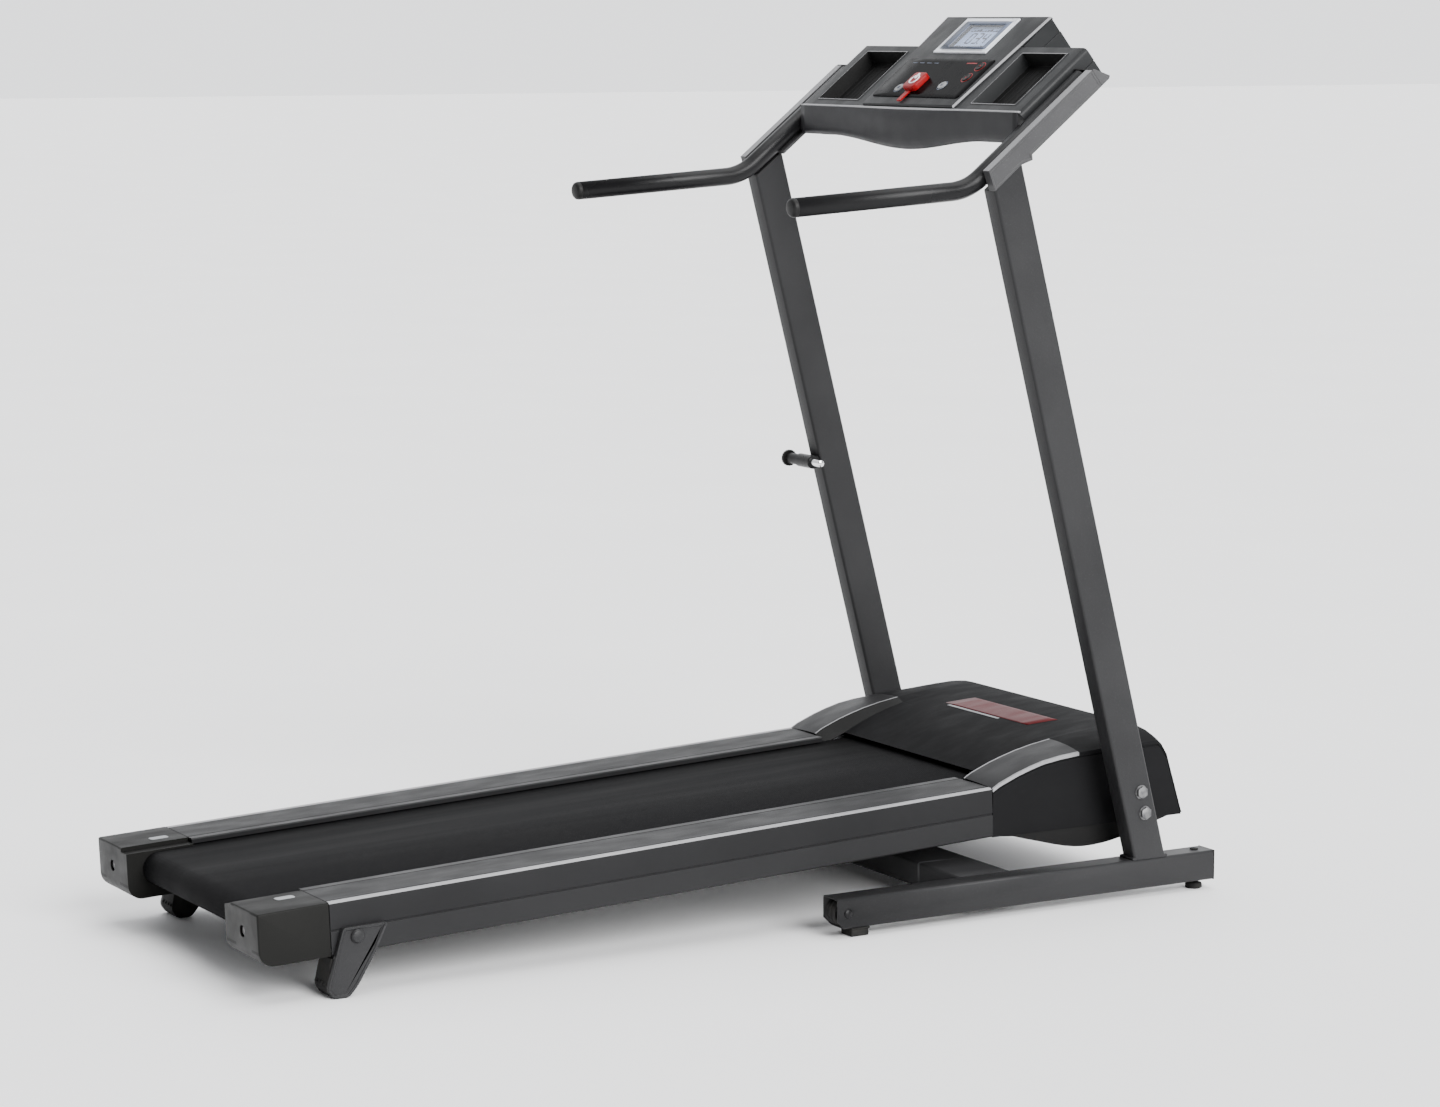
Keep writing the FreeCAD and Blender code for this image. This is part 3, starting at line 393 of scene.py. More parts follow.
foot_rubber = rubber_finish("foot_rubber", tone(22, 22, 22), tone(44, 43, 41))
drive_rubber = rubber_finish("drive_rubber", tone(16, 16, 17), tone(34, 34, 35))
wheel_plastic = rubber_finish("wheel_plastic", tone(26, 26, 27), tone(50, 49, 47))
zinc_steel = metal_finish("zinc_steel", tone(176, 178, 180), tone(205, 206, 204), 0.34, (1, 1, 1))
roller_steel = metal_finish("roller_steel", tone(150, 152, 155), tone(180, 181, 183), 0.28,
                            (0.02, 1, 1), 900)
dark_steel = metal_finish("dark_steel", tone(92, 92, 94), tone(128, 128, 128), 0.42, (1, 1, 1))
chrome_pin = metal_finish("chrome_pin", tone(225, 226, 228), tone(240, 240, 240), 0.14, (1, 0.1, 0.1))
deck_wood = board_finish()
print("rubber, metal and wood finishes made")

# %% [markdown]
# ## Display, gloss panel and circuit board
# The control panel is a glossy black film with faint finger marks, which show as a change in
# roughness rather than colour. The display is a pale blue-grey liquid crystal cell with dark
# segments; its colour also feeds a weak emission, a painted glow that makes the cell read paler.
# The circuit boards are green with a grid of copper tracks.

# %% Console finishes
def gloss_film():
    film = Finish("panel_gloss", 0.24, shine=0.02)
    smear = film.noise(34, 5)
    film.colour(film.blend(film.spread(smear, 0.4, 0.8, 0, 0.5), tone(2, 2, 3), tone(7, 7, 8)))
    film.roughness(smear, 0.14, 0.34)
    film.relief(film.noise(500, 1), 0.00001)
    return film.made


def crystal_cell():
    cell = Finish("lcd_screen", 0.3)
    haze = cell.noise(30, 3)
    lines = cell.waves(420, "X")
    body = cell.blend(cell.spread(haze, 0.3, 0.7), tone(128, 148, 186), tone(150, 168, 202))
    lined = cell.blend(cell.spread(lines, 0.8, 1.0, 0, 0.12), body, tone(110, 124, 160))
    cell.colour(lined)
    # Painted glow: the cell's colour drives a weak emission so that it reads lighter.
    cell.links.new(lined, cell.shader.inputs["Emission Color"])
    cell.shader.inputs["Emission Strength"].default_value = 0.60
    cell.relief(lines, 0.00002)
    return cell.made


def clear_window():
    glass = Finish("lcd_glass", 0.10, shine=0.15)
    glass.shader.inputs["Alpha"].default_value = 0.10
    smear = glass.noise(45, 4)
    glass.colour(glass.blend(smear, tone(236, 240, 248), tone(250, 252, 255)))
    glass.roughness(smear, 0.02, 0.10)
    return glass.made


def green_board():
    board = Finish("circuit_board", 0.35, coat=0.4)
    tracks = board.times(board.waves(60, "X", 3), board.waves(60, "Y", 3), "MAXIMUM")
    pads = board.cells(140)
    body = board.blend(board.spread(tracks, 0.9, 0.96), tone(14, 70, 38), tone(28, 104, 58))
    board.colour(board.blend(board.spread(pads, 0.12, 0.08), body, tone(196, 160, 92)))
    board.relief(tracks, 0.0001)
    return board.made


panel_gloss = gloss_film()
lcd_screen = crystal_cell()
lcd_glass = clear_window()
circuit_board = green_board()
lcd_bezel = moulded("lcd_bezel", tone(214, 218, 224), tone(228, 231, 236), 0.35, 1400, 0.00005)
lcd_surround = moulded("lcd_surround", tone(92, 100, 118), tone(108, 116, 134), 0.35, 1400, 0.00005)
segment_ink = moulded("segment_ink", tone(24, 32, 60), tone(34, 44, 74), 0.4, 1400, 0.00002)
print("console finishes made")

# %% [markdown]
# ## Plain floor
# A wide level sheet catches the soft shadow under the machine. Its paint has the slightest mottle,
# because a perfectly even floor looks like paper.

# %% Floor
FLOOR_REACH = 60.0
floor_paint = Finish("floor_paint", 0.7)
mottle = floor_paint.noise(2.0, 4)
floor_paint.colour(floor_paint.blend(mottle, tone(244, 244, 245), tone(250, 250, 250)))
bm = bmesh.new()
bmesh.ops.create_grid(bm, x_segments=2, y_segments=2, size=FLOOR_REACH)
floor_mesh = bpy.data.meshes.new("floor")
bm.to_mesh(floor_mesh)
bm.free()
floor_mesh.materials.append(floor_paint.made)
floor = bpy.data.objects.new("floor", floor_mesh)
bpy.context.scene.collection.objects.link(floor)
print("floor", 2 * FLOOR_REACH, "m wide")

# %% [markdown]
# ## From bmesh to piece
# Every piece ends the same way: doubles are merged, the normals are turned outwards, the drawing is
# put in its frame, and an object at the origin takes the mesh. A Bevel modifier gives the
# edges a small radius, because real edges always catch a line of light, and hardened normals keep
# the flat faces flat. The last lines say which body the piece rides on and what it stands for.

# %% Make a piece
def keep(bm, name, body, slot, finish, place=level, stands_for=(), bevel=0.0, wall=0.0,
         angle=30, steps=3):
    bmesh.ops.remove_doubles(bm, verts=bm.verts, dist=1e-6)
    bmesh.ops.transform(bm, matrix=place, verts=bm.verts)
    bmesh.ops.recalc_face_normals(bm, faces=bm.faces)
    mesh = bpy.data.meshes.new(name)
    bm.to_mesh(mesh)
    bm.free()
    for part in finish if isinstance(finish, tuple) else (finish,):
        mesh.materials.append(part)
    mesh.shade_smooth()
    piece = bpy.data.objects.new(name, mesh)
    bpy.context.scene.collection.objects.link(piece)
    if wall:
        solid = piece.modifiers.new("wall", "SOLIDIFY")
        solid.thickness = wall
        solid.offset = -1
    if bevel:
        edge = piece.modifiers.new("edges", "BEVEL")
        edge.width = bevel
        edge.segments = steps
        edge.limit_method = "ANGLE"
        edge.angle_limit = math.radians(angle)
        edge.harden_normals = True
    else:
        mesh.set_sharp_from_angle(angle=math.radians(angle))
    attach(piece, body)
    if stands_for:
        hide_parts(*stands_for)
    print(name, "on", body, len(mesh.polygons), "faces")
    return piece


def pair(draw, name, slot, finish, body=None, **how):
    """Draws a piece for the right side, and mirrored for the left."""
    for side, sign in (("right", 1), ("left", -1)):
        bm = draw()
        bmesh.ops.scale(bm, vec=(sign, 1, 1), verts=bm.verts)
        rides = body or name + "_" + side
        keep(bm, "visible_" + name + "_" + side, rides, slot, finish,
             stands_for=(name + "_" + side,), **how)

# %% [markdown]
# ## Shapes that most pieces start from
# Three starts cover nearly everything here. A slab is a cube scaled between two corners. A prism is
# one outline, drawn with only the corners it needs, filled and extruded. A turned piece is half a
# profile spun a full turn about its axis, as on a lathe.

# %% Slab, prism and turned piece
def slab(low, high, into=None):
    bm = into or bmesh.new()
    low, high = Vector(low), Vector(high)
    cube = bmesh.ops.create_cube(bm, size=1)["verts"]
    bmesh.ops.scale(bm, vec=high - low, verts=cube)
    bmesh.ops.translate(bm, vec=(low + high) / 2, verts=cube)
    return bm


def prism(outline, axis, start, end, into=None):
    """The outline's two numbers are the axes other than the one it is pulled along."""
    bm = into or bmesh.new()
    at = "XYZ".index(axis)
    corners = []
    for first, second in outline:
        point = [first, second]
        point.insert(at, start)
        corners.append(bm.verts.new(point))
    face = bm.faces.new(corners)
    pulled = bmesh.ops.extrude_face_region(bm, geom=[face])["geom"]
    travel = Vector((0, 0, 0))
    travel[at] = end - start
    bmesh.ops.translate(bm, vec=travel, verts=[v for v in pulled if isinstance(v, bmesh.types.BMVert)])
    bmesh.ops.recalc_face_normals(bm, faces=bm.faces)
    return bm


def turned(profile, centre, axis, steps=40, into=None):
    """Spins (radius, along) points about an axis through centre."""
    bm = into or bmesh.new()
    axis = Vector(axis).normalized()
    side = axis.orthogonal().normalized()
    centre = Vector(centre)
    points = [bm.verts.new(centre + side * radius + axis * along) for radius, along in profile]
    edges = [bm.edges.new(two) for two in zip(points, points[1:])]
    bmesh.ops.spin(bm, geom=points + edges, cent=centre, axis=axis, angle=math.tau, steps=steps,
                   use_merge=True)
    bmesh.ops.remove_doubles(bm, verts=bm.verts, dist=1e-6)
    return bm


def soften(bm, chosen, radius, steps=4):
    """Bevels the edges for which chosen(middle, direction) is true."""
    bm.edges.ensure_lookup_table()
    edges = []
    for edge in bm.edges:
        first, last = edge.verts[0].co, edge.verts[1].co
        if chosen((first + last) / 2, (last - first).normalized()):
            edges.append(edge)
    bmesh.ops.bevel(bm, geom=edges, offset=radius, offset_type="OFFSET", segments=steps,
                    profile=0.5, affect="EDGES", clamp_overlap=True, material=-1)
    return bm


def sheet(first_lines, second_lines, axis, height):
    """A flat sheet cut by lines both ways, so that single panes can be raised or sunk."""
    bm = bmesh.new()
    at = "XYZ".index(axis)
    ends = ((first_lines[0], second_lines[0]), (first_lines[-1], second_lines[0]),
            (first_lines[-1], second_lines[-1]), (first_lines[0], second_lines[-1]))
    corners = []
    for first, second in ends:
        point = [first, second]
        point.insert(at, height)
        corners.append(bm.verts.new(point))
    bm.faces.new(corners)
    others = [n for n in range(3) if n != at]
    for line_axis, lines in zip(others, (first_lines, second_lines)):
        normal = Vector((0, 0, 0))
        normal[line_axis] = 1
        for line in lines[1:-1]:
            bmesh.ops.bisect_plane(bm, geom=bm.verts[:] + bm.edges[:] + bm.faces[:], dist=1e-6,
                                   plane_co=normal * line, plane_no=normal)
    return bm


def panes(bm, chosen):
    return [face for face in bm.faces if chosen(face.calc_center_median())]


def move_panes(bm, faces, travel):
    """Extrudes a group of faces and moves it; walls close round it where it has neighbours."""
    out = bmesh.ops.extrude_face_region(bm, geom=faces)["geom"]
    bmesh.ops.translate(bm, vec=travel, verts=[v for v in out if isinstance(v, bmesh.types.BMVert)])
    return [g for g in out if isinstance(g, bmesh.types.BMFace)]


print("shape helpers ready")

# %% [markdown]
# ## Base rails
# Each base rail is a 40 by 46 mm box tube that lies on the floor, open at the rear, where the
# transport wheel sits inside it. A rectangle of edges is extruded along the rail, so that the tube
# stays open, and a plane cuts the lower rear corner away, so the wheel can reach the floor when the
# machine is tipped back. Solidify then gives the sheet its 2 mm wall.

# %% Base rails and crossbar
HALF_WIDTH = 0.355
RAIL_IN = 0.315
RAIL_MIDDLE = (HALF_WIDTH + RAIL_IN) / 2
RAIL_REAR, RAIL_FRONT = 0.1006, 0.782
RAIL_LOW, RAIL_HIGH = 0.014, 0.060
STEEL_WALL = 0.002


def tube_along(axis, first, second, start, end, corner):
    """An open box tube: first and second are the low and high of its two cross directions."""
    bm = slab([0, 0, 0], [1, 1, 1])
    at = "XYZ".index(axis)
    cross = [n for n in range(3) if n != at]
    for vert in bm.verts:
        vert.co[at] = end if vert.co[at] > 0.5 else start
        for n, span in zip(cross, (first, second)):
            vert.co[n] = span[1] if vert.co[n] > 0.5 else span[0]
    ends = [f for f in bm.faces if abs(f.normal[at]) > 0.9]
    bmesh.ops.delete(bm, geom=ends, context="FACES_ONLY")
    return soften(bm, lambda middle, way: abs(way[at]) > 0.99, corner)


def base_rail():
    bm = tube_along("Y", (RAIL_IN, HALF_WIDTH), (RAIL_LOW, RAIL_HIGH), RAIL_REAR, RAIL_FRONT, 0.004)
    bmesh.ops.bisect_plane(bm, geom=bm.verts[:] + bm.edges[:] + bm.faces[:],
                           plane_co=(0, RAIL_REAR, RAIL_LOW + 0.013), plane_no=(0, -1, -1),
                           clear_outer=True)
    return bm


pair(base_rail, "base_rail", "frame_paint", frame_paint, body="stand", wall=STEEL_WALL)
bm = tube_along("X", (0.350, 0.440), (0.018, 0.056), -RAIL_IN, RAIL_IN, 0.004)
keep(bm, "visible_base_crossbar", "stand", "frame_paint", frame_paint,
     stands_for=("base_crossbar",), wall=STEEL_WALL)

# %% [markdown]
# ## Uprights
# The uprights lean back by about fifteen degrees. Seen from the side each is a long parallelogram,
# cut at the top to the slope of the console arm, so an outline in that view is pulled across the
# width of the tube and its corners are rounded. A weld bead runs round its foot on the base rail.

# %% Uprights and their welds
UPRIGHT_IN = 0.323
UPRIGHT_DEPTH = 0.0581
UPRIGHT_LEAN = 0.2631
UPRIGHT_REAR_AT_RAIL = 0.6332


def upright_rear(height):
    return UPRIGHT_REAR_AT_RAIL - UPRIGHT_LEAN * (height - RAIL_HIGH)


def upright():
    top_rear, top_front = 1.080, 1.118
    outline = [(upright_rear(RAIL_HIGH), RAIL_HIGH), (upright_rear(RAIL_HIGH) + UPRIGHT_DEPTH, RAIL_HIGH),
               (upright_rear(top_front) + UPRIGHT_DEPTH, top_front), (upright_rear(top_rear), top_rear)]
    bm = prism(outline, "X", UPRIGHT_IN, HALF_WIDTH)
    return soften(bm, lambda middle, way: abs(way.x) < 0.01 and 0.3 < middle.z < 0.9, 0.0045)


def weld_beads():
    bead = 0.004
    bm = bmesh.new()
    for sign in (-1, 1):
        sides = sorted((sign * (UPRIGHT_IN - bead), sign * HALF_WIDTH))
        slab((sides[0], UPRIGHT_REAR_AT_RAIL - bead, RAIL_HIGH - 0.001),
             (sides[1], UPRIGHT_REAR_AT_RAIL + UPRIGHT_DEPTH + bead, RAIL_HIGH + bead), bm)
    return bm


pair(upright, "upright", "frame_paint", frame_paint, body="stand", angle=25)
keep(weld_beads(), "weld_beads", "stand", "frame_paint", frame_paint, bevel=0.0035)

# %% [markdown]
# ## Console arms
# The arms carry the console. Each is a plate, flush with the upright, that slopes up at the same
# angle as the console face, with a small tooth below where it is welded to the upright, and a ledge
# inside it that the handrail rests on. The outline is drawn in the console's own frame, where the
# arm is level, and a narrow band is inset in its outer face as on a pressed cover.

# %% Console arms
ARM_DEPTH = 0.030
ARM_PLATE_IN = 0.339


def console_arm():
    outline = [(0, 0), (ARM_LENGTH, 0), (ARM_LENGTH, -ARM_DEPTH), (0.0735, -ARM_DEPTH),
               (0.0695, -0.0369), (0.0509, -0.0302), (-0.0095, -0.0304)]
    bm = prism(outline, "X", ARM_PLATE_IN, HALF_WIDTH)
    outer = panes(bm, lambda middle: middle.x > HALF_WIDTH - 1e-5)
    bmesh.ops.inset_region(bm, faces=outer, thickness=0.0045, depth=0)
    bmesh.ops.inset_region(bm, faces=outer, thickness=0.0008, depth=-0.0010)
    bm.normal_update()
    # The upward faces take the pale paint: a painted highlight along the arm's top edge.
    for face in bm.faces:
        face.material_index = 1 if face.normal.z > 0.9 else 0
    return slab((0.308, 0.045, -ARM_DEPTH), (ARM_PLATE_IN, ARM_LENGTH - 0.006, -0.0262), bm)


pair(console_arm, "console_arm", "arm_paint", (arm_paint, highlight_paint), body="stand",
     place=on_console, bevel=0.0012)

# %% [markdown]
# ## Handrails
# A handrail is one bent tube: nearly level for the hands, then a single bend up to the slope of the
# arm. A circle of edges is extruded along the first leg, spun about the centre of the bend, and
# extruded up the second leg. The bend's centre follows from the two slopes and the bend radius.

# %% Handrails
GRIP_X, GRIP_RADIUS = 0.324, 0.014
GRIP_END = Vector((GRIP_X, 0.044, 1.0628))
GRIP_SLOPE = math.atan(0.063)
BEND_RADIUS = 0.090
GRIP_DROP = 0.012


def up_slope(angle):
    return Vector((0, math.cos(angle), math.sin(angle)))


def handrail():
    arm_start = ARM_FOOT - level.translation + Vector((GRIP_X, 0, 0))
    arm_start += GRIP_DROP * Vector((0, math.sin(CONSOLE_SLOPE), -math.cos(CONSOLE_SLOPE)))
    arm_start.x = GRIP_X
    gap = arm_start - GRIP_END
    level_way, arm_way = up_slope(GRIP_SLOPE), up_slope(CONSOLE_SLOPE)
    turn = CONSOLE_SLOPE - GRIP_SLOPE
    corner_run = (gap.y * arm_way.z - gap.z * arm_way.y) / math.sin(turn)
    corner = GRIP_END + level_way * corner_run
    tangent = BEND_RADIUS * math.tan(turn / 2)
    centre = corner - level_way * tangent + BEND_RADIUS * Vector((0, -level_way.z, level_way.y))
    arm_end = arm_start + arm_way * (ARM_LENGTH - 0.004)
    bm = bmesh.new()
    upright_ring = Matrix.Translation(GRIP_END) @ Matrix.Rotation(math.pi / 2 + GRIP_SLOPE, 4, "X")
    bmesh.ops.create_circle(bm, segments=28, radius=GRIP_RADIUS, matrix=upright_ring)
    ring = bm.edges[:]
    pulled = bmesh.ops.extrude_edge_only(bm, edges=ring)["geom"]
    bmesh.ops.translate(bm, vec=level_way * (corner_run - tangent),
                        verts=[v for v in pulled if isinstance(v, bmesh.types.BMVert)])
    ring = [g for g in pulled if isinstance(g, bmesh.types.BMEdge)]
    ring += [v for v in pulled if isinstance(v, bmesh.types.BMVert)]
    bend = bmesh.ops.spin(bm, geom=ring, cent=centre, axis=(1, 0, 0), angle=turn, steps=12)
    ring = [g for g in bend["geom_last"] if isinstance(g, bmesh.types.BMEdge)]
    pulled = bmesh.ops.extrude_edge_only(bm, edges=ring)["geom"]
    bend_end = corner + arm_way * tangent
    bmesh.ops.translate(bm, vec=arm_end - bend_end,
                        verts=[v for v in pulled if isinstance(v, bmesh.types.BMVert)])
    return bm


pair(handrail, "handrail", "handrail_paint", handrail_paint, body="stand", wall=STEEL_WALL, angle=50)

# %% [markdown]
# ## Caps on the tube ends
# Plastic caps close the open tubes: square ones on the front of the base rails, wedge-shaped ones on
# the upper ends of the arms, and round domed ones on the handrails.

# %% Tube caps
def tube_caps():
    bm = bmesh.new()
    grip_way = up_slope(GRIP_SLOPE)
    dome = [(0, 0.010), (0.006, 0.0098), (0.0105, 0.0088), (0.0132, 0.0062), (0.0141, 0.0025),
            (0.0141, 0), (0.0118, 0), (0.0118, -0.008), (0, -0.008)]
    arm_tip = [(ARM_LENGTH, 0), (ARM_LENGTH + 0.004, -0.001), (ARM_LENGTH + 0.021, -0.027),
               (ARM_LENGTH + 0.017, -ARM_DEPTH), (ARM_LENGTH, -ARM_DEPTH)]
    for sign in (-1, 1):
        turned(dome, (sign * GRIP_X, GRIP_END.y, GRIP_END.z), -grip_way, 28, bm)
        sides = sorted((sign * RAIL_IN, sign * HALF_WIDTH))
        slab((sides[0], RAIL_FRONT, RAIL_LOW), (sides[1], RAIL_FRONT + 0.003, RAIL_HIGH), bm)
        slab((sides[0] + 0.0025, RAIL_FRONT - 0.012, RAIL_LOW + 0.0025),
             (sides[1] - 0.0025, RAIL_FRONT, RAIL_HIGH - 0.0025), bm)
        tip = prism(arm_tip, "X", *sorted((sign * 0.308, sign * HALF_WIDTH)))
        for face in tip.faces:
            face.material_index = 1 if abs(face.normal.x) > 0.9 else 0
        bmesh.ops.transform(tip, matrix=level.inverted() @ on_console, verts=tip.verts)
        carrier = bpy.data.meshes.new("arm_tip")
        tip.to_mesh(carrier)
        bm.from_mesh(carrier)
        bpy.data.meshes.remove(carrier)
    return bm


keep(tube_caps(), "visible_tube_end_caps", "stand", "cap_plastic", (cap_plastic, arm_paint),
     stands_for=("tube_end_caps",), bevel=0.0012)

# %% [markdown]
# ## Wheels, pads and levelling feet
# All of these are turned, like most round things: a profile of half the wheel or foot is spun about
# its axis. The wheel has a tread with two grooves and a dished hub. The levelling foot has a rubber
# sole, a threaded stem and a cap above the rail to turn it by; the thread is a few rings, spun with
# the rest. The square rear pads are slabs with rounded corners.

# %% Wheels, levelling feet and pads
WHEEL_Y, WHEEL_Z = 0.1186, 0.037
FOOT_Y = 0.760
THREAD_PITCH = 0.00125


def transport_wheel():
    half = [(0.0042, 0.0095), (0.008, 0.0095), (0.0105, 0.0075), (0.0145, 0.0075), (0.0165, 0.0125),
            (0.0185, 0.0130), (0.0200, 0.0115), (0.0200, 0.0055), (0.0188, 0.0048), (0.0188, 0.0036),
            (0.0200, 0.0030)]
    profile = half + [(radius, -along) for radius, along in reversed(half)] + half[:1]
    return turned(profile, (RAIL_MIDDLE, WHEEL_Y, WHEEL_Z), (1, 0, 0))


def leveller():
    foot = [(0, 0), (0.0115, 0), (0.0130, 0.0015), (0.0130, 0.0065), (0.0115, 0.0085), (0.0070, 0.0095),
            (0.0046, 0.0100)]
    thread = []
    for turn in range(4):
        height = 0.0100 + turn * THREAD_PITCH
        thread += [(0.0050, height + THREAD_PITCH / 2), (0.0044, height + THREAD_PITCH)]
    cap = [(0.0044, 0.0600), (0.0066, 0.0602), (0.0066, 0.0610), (0.0058, 0.0616), (0, 0.0618)]
    return turned(foot + thread + cap, (RAIL_MIDDLE, FOOT_Y, 0), (0, 0, 1))


def rear_pads():
    bm = bmesh.new()
    for sign in (-1, 1):
        middle = sign * RAIL_MIDDLE
        slab((middle - 0.015, 0.128, 0), (middle + 0.015, 0.158, RAIL_LOW), bm)
        slab((middle - 0.0165, 0.1265, 0.0100), (middle + 0.0165, 0.1595, RAIL_LOW), bm)
    return bm


pair(transport_wheel, "transport_wheel", "wheel_plastic", wheel_plastic, angle=35)
pair(leveller, "leveller", "foot_rubber", foot_rubber, angle=35)
keep(rear_pads(), "visible_rear_base_pads", "stand", "foot_rubber", foot_rubber,
     stands_for=("rear_base_pads",), bevel=0.0020)

# %% [markdown]
# ## Bolts
# A hexagon bolt head has a chamfered crown: a six-sided prism whose corners are cut by a cone. A
# shallow turned dome over a six-sided plug gives that at once. Each head sits on a washer. The wheel
# axles end in smooth domes, and the deck pivots have a thick shoulder between tube and deck.

# %% Frame bolts
PIVOT_Y, PIVOT_Z = PIVOT.y, PIVOT.z
UPPER_BOLT = (0.6425, 0.165)


def hexagon(bm, centre, axis, across_flats, height):
    centre, axis = Vector(centre), Vector(axis)
    turn = axis.to_track_quat("Z", "Y").to_matrix().to_4x4()
    radius = across_flats / 2 / math.cos(math.pi / 6)
    place = Matrix.Translation(centre + axis * height / 2) @ turn
    made = bmesh.ops.create_cone(bm, cap_ends=True, segments=6, radius1=radius, radius2=radius,
                                 depth=height, matrix=place)["verts"]
    top = {e for v in made for e in v.link_edges
           if all((w.co - centre).dot(axis) > height * 0.9 for w in e.verts)}
    bmesh.ops.bevel(bm, geom=list(top), offset=0.0010, offset_type="OFFSET", segments=2,
                    profile=0.5, affect="EDGES", material=-1)


def frame_bolts():
    bm = bmesh.new()
    washer = [(0.0061, 0), (0.0105, 0), (0.0108, 0.0006), (0.0105, 0.0014), (0.0061, 0.0014)]
    dome = [(0, 0.0034), (0.0035, 0.0031), (0.0060, 0.0020), (0.0070, 0.0004), (0.0070, 0)]
    shaft = [(0, 0), (0.0060, 0), (0.0060, -0.125), (0, -0.125)]
    for sign in (-1, 1):
        out = Vector((sign, 0, 0))
        face = sign * HALF_WIDTH
        for y, z in ((PIVOT_Y, PIVOT_Z), UPPER_BOLT):
            turned(washer, (face, y, z), out, 28, bm)
            hexagon(bm, (face + sign * 0.0014, y, z), out, 0.017, 0.0046)
        turned(shaft, (face, PIVOT_Y, PIVOT_Z), out, 24, bm)
        shoulder = [(0.0060, 0), (0.0120, 0), (0.0120, 0.0270), (0.0060, 0.0270)]
        turned(shoulder, (sign * 0.296, PIVOT_Y, PIVOT_Z), out, 28, bm)
        hexagon(bm, (sign * UPRIGHT_IN, *UPPER_BOLT), -out, 0.017, 0.006)
        turned(dome, (face, WHEEL_Y, WHEEL_Z), out, 28, bm)
        axle = [(0, 0), (0.0040, 0), (0.0040, -0.042), (0, -0.042)]
        turned(axle, (face, WHEEL_Y, WHEEL_Z), out, 20, bm)
        hexagon(bm, (sign * RAIL_IN, WHEEL_Y, WHEEL_Z), -out, 0.013, 0.006)
    for face in panes(bm, lambda m: abs(m.x) > HALF_WIDTH and m.y < 0.2):
        face.material_index = 1
    return bm


keep(frame_bolts(), "visible_frame_bolts", "stand", "zinc_steel", (dark_steel, handrail_paint),
     stands_for=("frame_bolts",))

# %% [markdown]
# ## Storage latch
# Behind the left upright sits a spring latch that holds the deck when it is folded up. A barrel is
# welded to the tube; the chrome pin slides in it, and a pull knob on its outer end has grip notches
# round its rim, made by pushing in every second group of rim points.

# %% Latch
LATCH_Y, LATCH_Z = 0.474, 0.612
KNOB_END, KNOB_DISC, PIN_TIP = -0.404, 0.0075, -0.2985
BARREL_OUT, BARREL_IN = -0.366, -0.323
ALONG = Vector((1, 0, 0))


def latch_bracket():
    length = BARREL_IN - BARREL_OUT
    profile = [(0.0093, 0), (0.0100, 0), (0.0110, 0.0010), (0.0110, length - 0.001), (0.0100, length),
               (0.0062, length), (0.0062, length - 0.012), (0.0093, length - 0.012), (0.0093, 0)]
    bm = turned(profile, (BARREL_OUT, LATCH_Y, LATCH_Z), ALONG, 36)
    outline = [(LATCH_Y + math.sqrt(0.0102 ** 2 - z * z), LATCH_Z + z)
               for z in (0.009, 0.0065, 0.0035, 0, -0.0035, -0.0065, -0.009)]
    outline += [(upright_rear(LATCH_Z + z), LATCH_Z + z) for z in (-0.009, 0.009)]
    return prism(outline, "X", -0.353, -0.327, bm)


def latch_pin():
    length = PIN_TIP - KNOB_END - KNOB_DISC
    profile = [(0, 0), (0.0060, 0), (0.0060, length - 0.0030), (0.0054, length - 0.0012),
               (0.0038, length - 0.0002), (0, length)]
    return turned(profile, (KNOB_END + KNOB_DISC, LATCH_Y, LATCH_Z), ALONG, 32)


def latch_knob():
    profile = [(0, 0.0012), (0.0090, 0.0012), (0.0105, 0), (0.0122, 0), (0.0135, 0.0016),
               (0.0135, 0.0060), (0.0122, KNOB_DISC), (0.0094, KNOB_DISC), (0.0090, 0.0078),
               (0.0090, 0.0365), (0.0061, 0.0365)]
    bm = turned(profile, (KNOB_END, LATCH_Y, LATCH_Z), ALONG, 72)
    centre = Vector((0, LATCH_Y, LATCH_Z))
    for vert in bm.verts:
        out = Vector((0, vert.co.y, vert.co.z)) - centre
        turn = round(math.degrees(math.atan2(out.z, out.y)) / 5) % 4
        if out.length > 0.0130 and turn == 0:
            vert.co -= out.normalized() * 0.0009
    return bm


keep(latch_bracket(), "visible_latch_bracket", "stand", "handrail_paint", handrail_paint,
     stands_for=("latch_bracket",))
keep(latch_pin(), "visible_latch_pin", "latch", "chrome_pin", chrome_pin, stands_for=("latch_pin",))
keep(latch_knob(), "visible_latch_knob", "latch", "knob_plastic", knob_plastic,
     stands_for=("latch_knob",))

# %% [markdown]
# ## Walking belt
# The belt is one loop round two rollers. A single edge across the belt is spun half a turn about the
# rear roller, extruded forward, and spun half a turn about the front roller, and the loop closes on
# itself. Solidify makes it two millimetres thick, inwards. The UV map called run is worked out from
# the distance that each point has travelled round the loop.

# %% Belt
BELT_HALF = 0.200
ROLLER_W = 0.0294
BELT_RADIUS = 0.024
REAR_ROLLER, FRONT_ROLLER = -1.385, -0.185
TURN_STEPS = 14


def spun_edge(bm, geom, centre, angle):
    out = bmesh.ops.spin(bm, geom=geom, cent=centre, axis=(1, 0, 0), angle=angle, steps=TURN_STEPS)
    return out["geom_last"]


